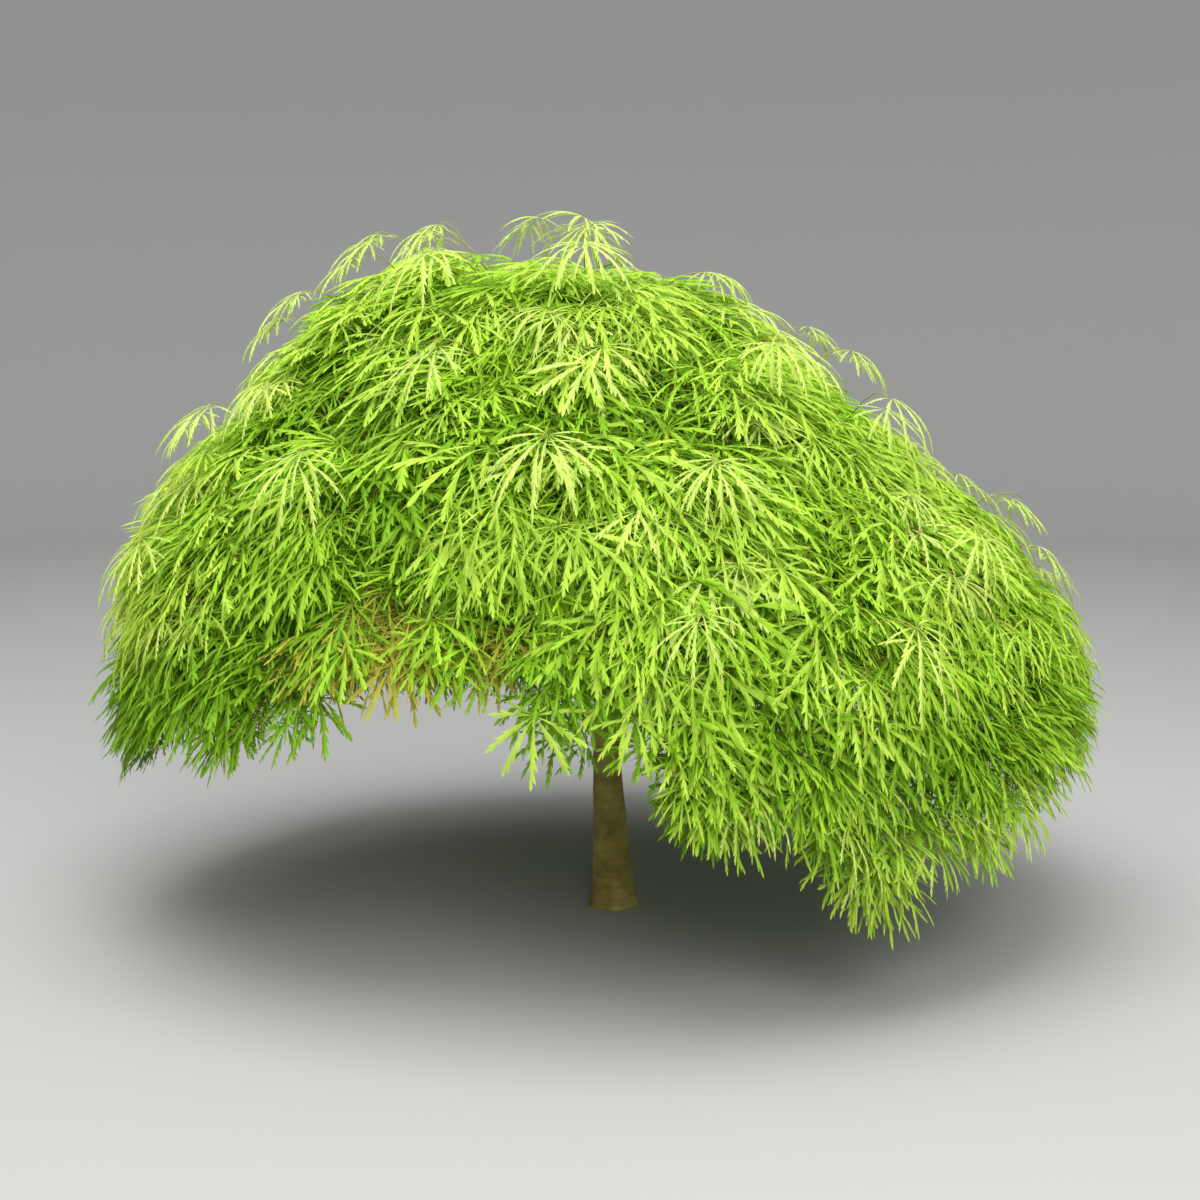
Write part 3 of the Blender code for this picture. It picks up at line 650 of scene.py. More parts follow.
# How far a spray bows out on its way, and how much more for each metre, and how far a twig does
SPRAY_BOW, SPRAY_BOW_SHARE, TWIG_BOW = 0.035, 0.125, 0.03
# Depth at which it is told which mass a place belongs to
OWNER_DEPTH = 0.10
# Traits of the sprays that belong to no mound: paleness, depth, place in the bundle, downhill
WOOD_TRAITS, FILL_TRAITS = (0.0, 0.16, 0.5, 0.0), (0.3, 0.10, 0.5, 0.0)
SPRIG_TRAITS = (1.0, 0.0, 1.0, 1.0)

# The skirt's lower edge: height over which sprays thin out, gap under the lowest and how uneven it
# is, and the share of sprays that is left out at the edge
EDGE_HEIGHT, EDGE_GAP, EDGE_RAGGED = 0.30, 0.050, 0.035
EDGE_THINNING = {BODY: 0.75, HAND: 0.55}

# Deep sprays: distance apart, height over the skirt's edge and depth. The lining stays higher over
# the arch, so that it doesn't hang into it
FILL_GAP, FILL_HEIGHT, FILL_DEPTHS = 0.050, 0.12, (0.085, 0.12)
LINING_GAP, LINING_HEIGHTS, LINING_DEPTHS = 0.083, (0.18, 0.74), (0.14, 0.19)
LINING_ARCH_LIFT, LINING_ARCH_SPREAD = 0.12, 40

# Sprigs that break the outline as seen from the front, as distance across and height. A tuft stands
# on each other mound that is higher than SPRIG_HEIGHT and no nearer to a sprig than SPRIG_GAP
SPRIG_GAP = 0.15
SPRIG_HEIGHT = 0.62
SPRIG_FORTH = 0.12
SPRIG_FOOT_DEPTH = 0.050
SPRIG_LENGTHS, SPRIG_DROP, SPRIG_ARCH = (0.07, 0.11), 0.015, (0.030, 0.050)
TUFT_RISE = 0.060
OUTLINE_SPRIGS = (
    (-0.47, 1.355), (-0.35, 1.36), (-0.16, 1.385), (-0.045, 1.375), (0.195, 1.275), (0.40, 1.165),
    (0.47, 1.125), (0.60, 0.94), (0.70, 0.875), (0.81, 0.845), (0.84, 0.74), (0.88, 0.69),
    (0.91, 0.57), (-0.50, 1.305), (-0.61, 1.235), (-0.655, 1.185), (-0.70, 1.09), (-0.845, 0.985),
    (-0.86, 0.92), (-0.885, 0.86), (-0.93, 0.77), (-0.935, 0.70),
)

# Paleness of a spray: by its bundle's own tone; painted shade for each metre over the middling
# depth; painted light by its place in the bundle, palest at its downhill rim; and painted light
# from above for each metre over the middling height
PALE_TONE, DEPTH_PAINTED_SHADE, PROUD_PAINTED_LIGHT, HEIGHT_PAINTED_LIGHT, PALE_JITTER = 0.45, 8.5, 0.20, 0.25, 0.14
MIDDLING_DEPTH, MIDDLING_HEIGHT = 0.07, 0.75
# Tints: limits of paleness between one and the next, and places of painted shade (darker at the
# left front, most low down) and of painted light (paler low at the right front), as azimuth, its
# spread, added paleness, top height and the deepest kind of spray it changes
TINT_LIMITS = (-0.62, -0.18, 0.20)
PAINTED_SHADE_AND_LIGHT = ((226, 30, -0.25, 2.0, BODY), (210, 28, -1.40, 0.64, BODY), (305, 24, 0.40, 0.45, HAND))
BRONZE_HEIGHT, BRONZE_DEPTH, BRONZE_SHARE = 0.20, 0.06, 0.80
DEEP, BRONZE = TINTS.index("deep"), TINTS.index("bronze")

# Leaves: chance of the drooping form by tint, share of fine ones that turn broad at the skirt's
# edge, size, turn either way in degrees, and how they stream on, down, out and to the sides
DROOPING = np.array((0.80, 0.45, 0.10, 0.0, 0.0))
EDGE_BROAD = 0.8
LEAF_SIZES = (0.84, 1.16)
LEAF_TURN = 36
STREAM_ON, STREAM_DOWN, STREAM_OUT, STREAM_ASIDE = 0.70, 0.55, (0.30, 0.80), 0.40
# Leaf stalks: how they point out, down, aside and on, at the sides and at the tip of a spray, and
# their lengths. Leaves fan out to the sides, and at the skirt's edge they lie more level
STALK_OUT, STALK_DOWN, STALK_ASIDE, STALK_ON = (0.2, 0.5), 0.35, 0.8, (0.45, 0.9)
STALK_LENGTHS, YOUNG_STALK = (0.7, 1.3), 0.5
FAN_ASIDE = 0.5
FACE_PULL, EDGE_LEVEL, FACE_JITTER = 1.5, 0.7, 0.14

# How far leaf tips may reach past the crown's body, its cap and the skirt's edge, and how far past
# that a leaf is dropped. The right side keeps further in
YOUNG_REACH, BODY_REACH, DROP_REACH = 0.050, (-0.045, 0.005), 0.025
RIGHT_TUCK, RIGHT_SPREAD = 0.030, 40
YOUNG_RISE, BODY_RISE = 0.020, (-0.030, 0.025)
RAGGED_EDGE = (-0.075, 0.010)
LARGEST_STEP = 0.03
GROUND_GAP = 0.02


def drift(point, scale, offset):
    """Smooth noise from about -1 to 1."""
    return noise.noise(Vector(point) * scale + Vector((offset, 0, 0)))


def body_radius(azimuth, z):
    """The crown's reach without its sprigs: they stand out of its upper part."""
    low, high = BODY_INSET_HEIGHTS
    return crown_radius(azimuth, z) - BODY_INSET * np.clip((z - low) / (high - low), 0, 1)


def skin_distance(ways):
    """How far the skin of the crown's body lies from its heart in each direction."""
    near, far = np.zeros(len(ways)), np.full(len(ways), SKIN_FAR)
    for _ in range(SKIN_STEPS):
        middle = (near + far) / 2
        places = HEART + ways * middle[:, None]
        azimuth, radius = polar(places)
        inside = (radius <= body_radius(azimuth, places[:, 2])) & (places[:, 2] <= BODY_CAP)
        near, far = np.where(inside, middle, near), np.where(inside, far, middle)
    return near


def on_dome(points, depth):
    """The points moved along rays from the crown's heart to lie depth under the dome's skin."""
    ways = unit(points - HEART)
    return HEART + ways * (skin_distance(ways) - depth)[:, None]


def sunk(points, depth):
    """The points, those that lie less than depth under the dome's skin moved in to it."""
    ways = unit(points - HEART)
    far = np.minimum(np.linalg.norm(points - HEART, axis=1), skin_distance(ways) - depth)
    return HEART + ways * far[:, None]


def rim_places(gap, above_skirt):
    """Places over the skirt's lower edge, about gap apart all round."""
    count = int(2 * math.pi * CROWN_HALF_DEPTH / gap)
    azimuth = RIM_START + np.arange(count) * 360 / count
    z = skirt_height(azimuth) + above_skirt
    return at(azimuth, body_radius(azimuth, z), z)


def scattered(gap, above_skirt, first, rng):
    """Evenly scattered places on the dome's skin, at least gap apart, after those of first."""
    ways = rng.normal(size=(SCATTER_TRIES, 3))
    ways = unit(ways[ways[:, 2] > SCATTER_LOW * np.linalg.norm(ways, axis=1)])
    places = on_dome(HEART + ways, np.zeros(len(ways)))
    azimuth, _ = polar(places)
    places = places[places[:, 2] > skirt_height(azimuth) + above_skirt]
    kept = list(first)
    for place in places:
        if not kept or np.linalg.norm(np.array(kept) - place, axis=1).min() > gap:
            kept.append(place)
    return np.array(kept)


def owner_of(points, masses):
    """For each point, the index of the mass whose space holds it, or the nearest one's."""
    owners = np.full(len(points), -1)
    for i, mass in enumerate(masses):
        owners[mass.space.holds(points) & (owners < 0)] = i
    stems = np.array([mass.stem[-2] for mass in masses])
    nearest = np.linalg.norm(points[:, None] - stems[None], axis=2).argmin(axis=1)
    return np.where(owners < 0, nearest, owners)


def smoothed(route, radii, count):
    """The route and its radii at count even steps along a smooth curve through its points."""
    route, radii = np.asarray(route, float), np.asarray(radii, float)
    ends = np.vstack((2 * route[0] - route[1], route, 2 * route[-1] - route[-2]))
    place = np.linspace(0, len(route) - 1, count)
    i = np.minimum(place.astype(int), len(route) - 2)
    t = (place - i)[:, None]
    p0, p1, p2, p3 = (ends[i + k] for k in range(4))
    curve = 0.5 * (2 * p1 + (p2 - p0) * t + (2 * p0 - 5 * p1 + 4 * p2 - p3) * t**2
                   + (3 * p1 - p0 - 3 * p2 + p3) * t**3)
    return curve, np.interp(place, np.arange(len(route)), radii)


class Growth:
    """All that grows beyond the limbs: routes of twigs, and the leaves' places and axes."""

    def __init__(self):
        self.twigs, self.sprays, self.leaves = [], [], []

    def add_twig(self, route, radii):
        self.twigs.append(smoothed(route, radii, TWIG_POINTS))

    def add_spray(self, points, *traits):
        """A spray along the curve of the points, with the traits that follow a Spray's route."""
        self.sprays.append(Spray(bezier(points, SPRAY_POINTS), *traits))


def bundle_sites(centre, radius, count, crest, rim, rng):
    """Roots of one bundle's sprays, a mound over its hub, with their depths and places in it.

    Crest and rim are how far under the dome's skin the mound's middle and its rim lie.
    """
    k = np.arange(count)
    rho = np.sqrt((k + 0.4) / count) * rng.uniform(*MOUND_SPACING, count)
    angle = rng.uniform(0, 2 * math.pi) + GOLDEN_TURN * k + rng.normal(0, MOUND_SWIRL, count)
    normal = outward(centre)
    down = downhill(normal)
    side = np.cross(down, normal)
    lower = np.cos(angle)
    along = rho * lower * np.where(lower > 0, *MOUND_REACH)
    places = centre + (down * along[:, None] + side * (rho * np.sin(angle))[:, None]) * radius
    depth = mixed(crest, rim, rho**2) - MOUND_TILT * rho * lower
    depth = depth + rng.normal(0, MOUND_ROUGHNESS, count)
    return on_dome(places, np.maximum(depth, LEAST_DEPTH)), depth, rho, lower


def edge_share(points):
    """1 at the skirt's lower edge, falling to 0 at EDGE_HEIGHT above it."""
    azimuth, _ = polar(points)
    return np.clip(1 - (points[:, 2] - skirt_height(azimuth)) / EDGE_HEIGHT, 0, 1)


def grow_bundles(masses, wood, growth, settings, rng):
    """A hub twig and a cushion of sprays for every bundle on the dome."""
    rim = rim_places(settings.bundle_gap, RIM_HEIGHT)
    centres = scattered(settings.bundle_gap, DOME_HEIGHT, rim, rng)
    owners = owner_of(on_dome(centres, np.full(len(centres), OWNER_DEPTH)), masses)
    hubs = on_dome(centres, rng.uniform(*HUB_DEPTHS, len(centres)))
    azimuth, _ = polar(hubs)
    hubs[:, 2] = np.maximum(hubs[:, 2], skirt_height(azimuth) + HUB_HEIGHT)
    for centre, owner, hub in zip(centres, owners, hubs):
        mass, spots = masses[owner], wood[owner]
        start = spots[np.linalg.norm(spots - hub, axis=1).argmin()]
        bend = mixed(start, hub, 0.5) + outward(hub) * TWIG_BOW
        growth.add_twig(bezier([start, bend, hub], 5), np.linspace(*HUB_TWIG_RADII, 5))
        tone, share = rng.uniform(), rng.uniform(*BUNDLE_SIZES)
        inset = MOUND_INSET + MOUND_DRIFT * drift(centre, 3.0, 5.0) + rng.uniform(*MOUND_JITTER)
        for kind, count in ((BODY, settings.sprays), (HAND, settings.hands)):
            crest, rim = MOUND_DEPTHS[kind]
            roots, depth, rho, lower = bundle_sites(
                centre, settings.bundle_radius * share, max(3, round(count * share**2)),
                crest + inset, rim + inset, rng)
            edge = edge_share(roots)
            hang = (1 - edge) * EDGE_HEIGHT - EDGE_GAP
            hang -= np.abs(rng.normal(0, EDGE_RAGGED, len(roots)))
            thin = rng.uniform(size=len(roots)) < EDGE_THINNING[kind] * edge
            for k in np.flatnonzero((hang > 0) & ~thin):
                root = roots[k]
                rise = SPRAY_BOW + SPRAY_BOW_SHARE * np.linalg.norm(root - hub)
                bend = mixed(hub, root, 0.5) + outward(root) * rise
                growth.add_spray([hub, bend, root], mass.tier,
                                 tone, depth[k], rho[k], lower[k], kind)
    return centres, hubs, owners


def fill_gaps(masses, hubs, owners, growth, rng):
    """Deep sprays: fine ones where the bundles leave the dome thin, plain ones behind the skirt."""
    fine = [spray for spray in growth.sprays if spray.kind == BODY]
    ends = KDTree(len(fine))
    for i, spray in enumerate(fine):
        ends.insert(spray.route[-1], i)
    ends.balance()
    places = scattered(FILL_GAP, FILL_HEIGHT, (), rng)
    roots = on_dome(places, rng.uniform(*FILL_DEPTHS, len(places)))
    missing = [(root, BODY) for root in roots if ends.find(root)[2] > FILL_GAP]
    low, high = LINING_HEIGHTS
    places = scattered(LINING_GAP, low, (), rng)
    azimuth, _ = polar(places)
    above = places[:, 2] - skirt_height(azimuth)
    above -= LINING_ARCH_LIFT * bump(azimuth, ARCH_AZIMUTH, LINING_ARCH_SPREAD)
    places = places[(above > low) & (above < high)]
    roots = on_dome(places, rng.uniform(*LINING_DEPTHS, len(places)))
    missing += [(root, LINING) for root in roots]
    for root, kind in missing:
        nearest = np.linalg.norm(hubs - root, axis=1).argmin()
        bend = mixed(hubs[nearest], root, 0.5) + outward(root) * TWIG_BOW
        growth.add_spray([hubs[nearest], bend, root],
                         masses[owners[nearest]].tier, *FILL_TRAITS, kind)


def grow_sprigs(masses, centres, growth, rng):
    """Young shoots that arch out of the dome: those of the front outline, and one a mound."""
    across, height = np.array(OUTLINE_SPRIGS).T
    forth = rng.uniform(-SPRIG_FORTH, SPRIG_FORTH, len(across))
    tips = np.stack((across, forth, height), axis=1)
    places = centres[centres[:, 2] > SPRIG_HEIGHT + rng.uniform(0, 0.25, len(centres))]
    places = places[np.linalg.norm(places[:, None] - tips[None], axis=2).min(axis=1) > SPRIG_GAP]
    rise = np.maximum(outward(places)[:, 2], 0)
    tips = np.vstack((tips, places + outward(places) * (TUFT_RISE * rise)[:, None]))
    owners = owner_of(on_dome(tips, np.full(len(tips), OWNER_DEPTH)), masses)
    for i, (tip, owner) in enumerate(zip(tips, owners)):
        kind = SPRIG if i < len(across) else TUFT
        way = away(outward(tip))
        sway = np.cross(way, UP) * rng.uniform(-0.5, 0.5)
        foot = tip - (way + sway) * rng.uniform(*SPRIG_LENGTHS) - UP * SPRIG_DROP
        arch = mixed(foot, tip, 0.6) + UP * rng.uniform(*SPRIG_ARCH)
        growth.add_spray([sunk(foot[None], SPRIG_FOOT_DEPTH)[0], arch, tip],
                         masses[owner].tier, *SPRIG_TRAITS, kind)


def grow_sprays(masses, twigs, settings):
    """The source's twigs, sunk under the dome's skin, and all sprays that grow on from them."""
    rng = np.random.default_rng(SEED)
    growth, wood = Growth(), []
    for mass, routes in zip(masses, twigs):
        stem = sunk(mass.stem, STEM_DEPTH)
        routes = [sunk(route, TWIG_DEPTH) for route in routes]
        growth.add_twig(stem, mass.stem_radii)
        spots = [smoothed(stem, mass.stem_radii, 24)[0][4:]]
        for route in routes:
            radii = np.linspace(*TWIG_RADII, len(route))
            growth.add_twig(route, radii)
            spots.append(smoothed(route, radii, 12)[0][3:])
        wood.append(np.vstack(spots))
        for a, b in [stem[-2:], *(route[1:] for route in routes)]:
            growth.add_spray([a, mixed(a, b, 0.6) + outward(b) * 0.01, b],
                             mass.tier, *WOOD_TRAITS, BODY)
    centres, hubs, owners = grow_bundles(masses, wood, growth, settings, rng)
    fill_gaps(masses, hubs, owners, growth, rng)
    grow_sprigs(masses, centres, growth, rng)
    return growth, rng


def deal_tints(sprays, rng):
    """Each spray's tint: paler with painted light where proud, deeper with painted shade where
    deep.
    """
    tone, depth, rho, lower = np.array([(s.tone, s.depth, s.rho, s.lower) for s in sprays]).T
    kind = np.array([s.kind for s in sprays])
    ends = np.array([s.route[-1] for s in sprays])
    azimuth, radius = polar(ends)
    z = ends[:, 2]
    # Paleness: the bundle's own tone, painted shade deeper under the dome's skin, and painted light
    # at a mound's downhill rim and high up
    pale = PALE_TONE * tone - DEPTH_PAINTED_SHADE * (depth - MIDDLING_DEPTH)
    pale = pale + PROUD_PAINTED_LIGHT * rho * lower + HEIGHT_PAINTED_LIGHT * (z - MIDDLING_HEIGHT)
    pale += rng.normal(0, PALE_JITTER, len(sprays))
    # Painted shade at the left front, and painted light low at the right front
    for middle, spread, more, below, least_kind in PAINTED_SHADE_AND_LIGHT:
        pale += more * bump(azimuth, middle, spread) * (z < below) * (kind >= least_kind)
    tints = np.where(kind >= TUFT, 0, np.digitize(-pale, TINT_LIMITS))
    # The lining, deep behind the skirt, gets the deep tint as painted shade
    tints = np.where(kind == LINING, DEEP, tints)
    arch = bump(azimuth, ARCH_AZIMUTH, ARCH_SPREAD) > 0.4
    arch &= z < skirt_height(azimuth) + BRONZE_HEIGHT
    inner = (radius < crown_radius(azimuth, z) - BRONZE_DEPTH) & (kind == BODY)
    bronze = arch & inner & (rng.uniform(size=len(sprays)) < BRONZE_SHARE)
    return np.where(bronze, BRONZE, tints)


def leaf_roots(sprays):
    """Of every leaf: its root, the way its spray runs there, side, size, share and spray."""
    rows = []
    for i, spray in enumerate(sprays):
        legs = np.diff(spray.route, axis=0)
        for share, side, size in SPRAY_LEAVES[spray.kind]:
            spot = share * (SPRAY_POINTS - 1)
            k = min(int(spot), SPRAY_POINTS - 2)
            root = mixed(spray.route[k], spray.route[k + 1], spot - k)
            rows.append((root, legs[k], float(side), size, share, i))
    root, along, side, size, share, number = (np.array(column) for column in zip(*rows))
    return root, unit(along), side[:, None], size, share, number


def grow_leaves(sprays, tints, settings, rng):
    """Arrays of every leaf: root, centre, axes, length, bend, tint, tier, kind and form."""
    root, along, side, size, share, number = leaf_roots(sprays)
    n = len(root)
    kind = np.array([s.kind for s in sprays])[number]
    young = kind >= TUFT
    tint = tints[number]
    tint = np.where((tint < DEEP) & (share < 0.6) & ~young, tint + 1, tint)
    drooping = rng.uniform(size=n) < DROOPING[tint]
    edge = edge_share(root)
    fine = (kind == BODY) & (rng.uniform(size=n) > EDGE_BROAD * edge)
    form = np.where(fine, FINE, np.where((drooping & (kind == HAND)) | young, STRAND, BROAD))
    form = np.where(kind == LINING, PLAIN, form)
    low, high = np.array([each.bend for each in FORMS])[form].T
    lying = np.array([each.lying for each in FORMS])[form][:, None]
    normal = outward(root)
    down = downhill(normal)
    across = unit(np.cross(along, normal)) * side
    at_sides, at_tip = STALK_ON
    stalk = unit(normal * rng.uniform(*STALK_OUT, (n, 1)) + down * STALK_DOWN
                 + across * STALK_ASIDE + along * np.where(side == 0, at_tip, at_sides))
    petiole = settings.petiole * rng.uniform(*STALK_LENGTHS, (n, 1))
    petiole = petiole * np.where(young, YOUNG_STALK, 1.0)[:, None]
    centre = root + stalk * petiole
    turn = np.radians(rng.uniform(-LEAF_TURN, LEAF_TURN, (n, 1)))
    fan = unit(along + across * FAN_ASIDE)
    out = away(normal)
    flow = out * (rng.uniform(*STREAM_OUT, (n, 1)) + STREAM_ASIDE * np.abs(out[:, :1]))
    flow *= (kind != LINING)[:, None]
    forward = fan * STREAM_ON + down * STREAM_DOWN + flow
    forward = unit(forward * np.cos(turn) + np.cross(down, normal) * np.sin(turn))
    lift = UP * ((1 - lying) * FACE_PULL + EDGE_LEVEL * edge[:, None])
    face = normal * lying * FACE_PULL + lift + rng.normal(0, FACE_JITTER, (n, 3))
    face = unit(face - forward * dot(face, forward))
    size *= rng.uniform(*LEAF_SIZES, n)
    tier = np.array([TIERS.index(s.tier) for s in sprays])[number]
    return dict(root=root, centre=centre, forward=forward, face=face, side=np.cross(forward, face),
                length=settings.leaf_length * size, bend=rng.uniform(low, high), tint=tint,
                tier=tier, kind=kind, form=form, pattern=rng.integers(0, 3, n))


def bent(leaves, x, y):
    """Where (x, y) of each leaf's flat outline lies once its lobes hang down along arcs."""
    x, y = (np.asarray(values, float)[None, :, None] for values in (x, y))
    spread = np.maximum(np.hypot(x, y), 1e-6)
    way = (leaves["side"][:, None] * x + leaves["forward"][:, None] * y) / spread
    pull = way * way[..., 2:3] - UP
    bend = leaves["bend"][:, None, None]
    arc = way * np.sin(bend * spread) + pull * (1 - np.cos(bend * spread))
    return leaves["centre"][:, None] + arc * leaves["length"][:, None, None] / bend


def leaf_tips(leaves):
    """Where the tips of each leaf's lobes hang, taken as seven for all."""
    angles, sizes = np.radians(LOBES[7][0]), np.array(LOBES[7][1])
    return bent(leaves, np.sin(angles) * sizes, np.cos(angles) * sizes)


def reach_past_body(leaves):
    """The tips' places, and how far each leaf's furthest tip lies outside the crown's body."""
    tips = leaf_tips(leaves)
    azimuth, radius = polar(tips)
    return tips, azimuth, (radius - body_radius(azimuth, tips[..., 2])).max(axis=1)


def keep_in_reach(leaves, rng):
    """Draws leaves that stand too far out back inside the crown, and drops the rest."""
    n = len(leaves["length"])
    young = leaves["kind"] >= TUFT
    reach = np.where(young, YOUNG_REACH, rng.uniform(*BODY_REACH, n))
    reach -= RIGHT_TUCK * bump(polar(leaves["centre"])[0], 0, RIGHT_SPREAD)
    top = np.where(young, CROWN_CAP + YOUNG_RISE, BODY_CAP + rng.uniform(*BODY_RISE, n))
    ragged = rng.uniform(*RAGGED_EDGE, n)
    for _ in range(2):
        tips, _, past = reach_past_body(leaves)
        high = np.maximum(tips[..., 2].max(axis=1) - top, 0)
        inward = -outward(leaves["centre"]) * np.array((1.0, 1.0, 0.4))
        step = np.clip(past - reach, 0, LARGEST_STEP)
        leaves["centre"] = leaves["centre"] + inward * step[:, None] - UP * high[:, None]
    tips, azimuth, past = reach_past_body(leaves)
    low = (tips[..., 2] - skirt_height(azimuth)).min(axis=1)
    lowest = tips[..., 2].min(axis=1)
    keep = (past - reach < DROP_REACH) & (low > ragged) & (lowest > GROUND_GAP)
    return {name: values[keep] for name, values in leaves.items()}


@functools.lru_cache
def grown(settings_key):
    """The whole growth for these settings: twigs, spray routes and leaves."""
    settings = bpy.context.scene.maple_leaves
    limbs, masses = skeleton()
    reach = Reach(limbs, masses)
    twigs = [twig_routes(mass, random.Random(f"{SEED} {mass.name}"), reach) for mass in masses]
    growth, rng = grow_sprays(masses, twigs, settings)
    tints = deal_tints(growth.sprays, rng)
    growth.leaves = keep_in_reach(grow_leaves(growth.sprays, tints, settings, rng), rng)
    return growth


def growth_now():
    """The growth for the scene's settings, worked out once for each set of them."""
    s = bpy.context.scene.maple_leaves
    return grown((s.leaf_length, s.bundle_gap, s.bundle_radius, s.sprays, s.hands, s.petiole))


# ---------------------------------------------------------------- meshes


def triangle_mesh(name, points, triangles, flat):
    """A mesh of plain triangles from two arrays."""
    mesh = bpy.data.meshes.new(name)
    mesh.vertices.add(len(points))
    mesh.vertices.foreach_set("co", np.ascontiguousarray(points, np.float32).ravel())
    mesh.loops.add(triangles.size)
    mesh.loops.foreach_set("vertex_index", np.ascontiguousarray(triangles, np.int32).ravel())
    mesh.polygons.add(len(triangles))
    mesh.polygons.foreach_set("loop_start", np.arange(0, triangles.size, 3, dtype=np.int32))
    mesh.update(calc_edges=True)
    if flat:
        mesh.shade_flat()
    else:
        mesh.shade_smooth()
    return mesh


def new_object(name, data):
    made = bpy.data.objects.new(name, data)
    bpy.context.scene.collection.objects.link(made)
    return made


def new_piece(name, mesh, material, nodes):
    """A piece of the tree's one body, in place of the solids of the nodes."""
    piece = new_object(name, mesh)
    mesh.materials.append(material)
    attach(piece, "root")
    if nodes:
        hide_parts(*nodes)
    return piece


def swept(routes, radii, sides):
    """Closed tubes along many routes of the same number of points, as points and triangles."""
    routes, radii = np.asarray(routes), np.asarray(radii)
    n, k, _ = routes.shape
    along = unit(np.gradient(routes, axis=1))
    main = unit(routes[:, -1] - routes[:, 0])
    guide = np.where(np.abs(main[:, 2:3]) > 0.8, np.array((1.0, 0, 0)), UP)[:, None]
    across = unit(np.cross(along, np.broadcast_to(guide, along.shape)))
    lift = np.cross(across, along)
    angle = 2 * math.pi * np.arange(sides) / sides
    ring = (across[:, :, None] * np.cos(angle)[:, None] + lift[:, :, None] * np.sin(angle)[:, None])
    points = routes[:, :, None] + ring * radii[:, :, None, None]
    j = np.arange(sides)
    i = np.arange(k - 1)[:, None]
    a, b = i * sides + j, i * sides + (j + 1) % sides
    quads = np.stack((a, b, b + sides, a + sides), axis=-1).reshape(-1, 4)
    faces = np.vstack((quads[:, (0, 1, 2)], quads[:, (0, 2, 3)]))
    fan = np.array([(0, q + 1, q) for q in range(1, sides - 1)])
    last = (k - 1) * sides + np.array([(0, q, q + 1) for q in range(1, sides - 1)])
    faces = np.vstack((faces, fan, last))
    faces = faces[None] + (np.arange(n) * k * sides)[:, None, None]
    return points.reshape(-1, 3), faces.reshape(-1, 3)


# A lobe's fold along its midrib as a share of its width, how its teeth vary in width, and how far
# they lean on past their foot, the last one back
LOBE_FOLDS, TOOTH_WIDTHS = (0.15, 0.5), (0.60, 1.45)
TOOTH_LEAN, LAST_TOOTH_LEAN = 0.45, -0.40
FOLD_SHARES = (0.8, 1.2)
# A lobe's half width as a share of the setting: at its ends, what the middle adds, and how far that
# lies towards the tip. How far lobes turn either way in degrees, and how they vary in length
LOBE_ENDS, LOBE_BELLY, LOBE_FORWARD = 0.14, 1.16, 1.2
LOBE_TURN, LOBE_LENGTHS = 5, (0.92, 1.05)


def toothed_lobe(width, teeth, rng):
    """A narrow lobe from its root to (0, 1, 0), with forward teeth on both sides of its midrib.

    Each tooth stands on one and a half of its lengths along the midrib, so that a narrow blade
    stays whole between the notches.
    """
    lobe = bmesh.new()
    rib = [lobe.verts.new((0, 0, 0))]
    fold = rng.uniform(*LOBE_FOLDS)
    for _ in range(2 * teeth):
        rib.append(bmesh.ops.extrude_vert_indiv(lobe, verts=[rib[-1]])["verts"][0])
        rib[-1].co.y += 0.5 / teeth
    for i in range(teeth):
        along = (i + 0.5) / teeth
        lean = TOOTH_LEAN if i < teeth - 1 else LAST_TOOTH_LEAN
        base = lobe.edges.new((rib[max(2 * i - 1, 0)], rib[2 * i + 2]))
        for side in (-1, 1):
            spread = width * (LOBE_ENDS + LOBE_BELLY * math.sin(math.pi * along**LOBE_FORWARD))
            spread *= rng.uniform(*TOOTH_WIDTHS)
            drop = -fold * spread * rng.uniform(*FOLD_SHARES)
            apex = Vector((side * spread, (i + 1 + lean) / teeth, drop))
            made = bmesh.ops.extrude_edge_only(lobe, edges=[base])
            fresh = [g for g in made["geom"] if isinstance(g, bmesh.types.BMVert)]
            bmesh.ops.pointmerge(lobe, verts=fresh, merge_co=apex)
    return lobe


def leaf_template(form, pattern, settings):
    """Points and triangles of a flat leaf of length 1 that points along +Y."""
    rng = random.Random(f"{form} {pattern}")
    leaf = bmesh.new()
    for angle, length in zip(*LOBES[form.lobes[pattern]]):
        lobe = toothed_lobe(settings.lobe_width * form.width, form.teeth, rng)
        swing = rng.uniform(-LOBE_TURN, LOBE_TURN) - angle
        turn = Matrix.Rotation(math.radians(swing), 4, "Z")
        scale = length * rng.uniform(*LOBE_LENGTHS)
        for v in lobe.verts:
            v.co = turn @ (v.co * scale)
        piece = bpy.data.meshes.new("lobe")
        lobe.to_mesh(piece)
        lobe.free()
        leaf.from_mesh(piece)
        bpy.data.meshes.remove(piece)
    for face in leaf.faces:
        face.normal_update()
        if face.normal.z < 0:
            face.normal_flip()
    bmesh.ops.delete(leaf, geom=[v for v in leaf.verts if not v.link_faces], context="VERTS")
    leaf.verts.index_update()
    points = np.array([v.co[:] for v in leaf.verts])
    triangles = np.array([[v.index for v in f.verts] for f in leaf.faces])
    leaf.free()
    return points, triangles


def leaf_arrays(leaves, chosen, template):
    """Points and triangles of the chosen leaves, each bent down by its own weight."""
    points, triangles = template
    take = {name: values[chosen] for name, values in leaves.items()}
    height = points[None, :, 2, None] * take["length"][:, None, None]
    placed = bent(take, points[:, 0], points[:, 1]) + take["face"][:, None] * height
    n = len(placed)
    faces = triangles[None] + (np.arange(n) * len(points))[:, None, None]
    return placed.reshape(-1, 3), faces.reshape(-1, 3)


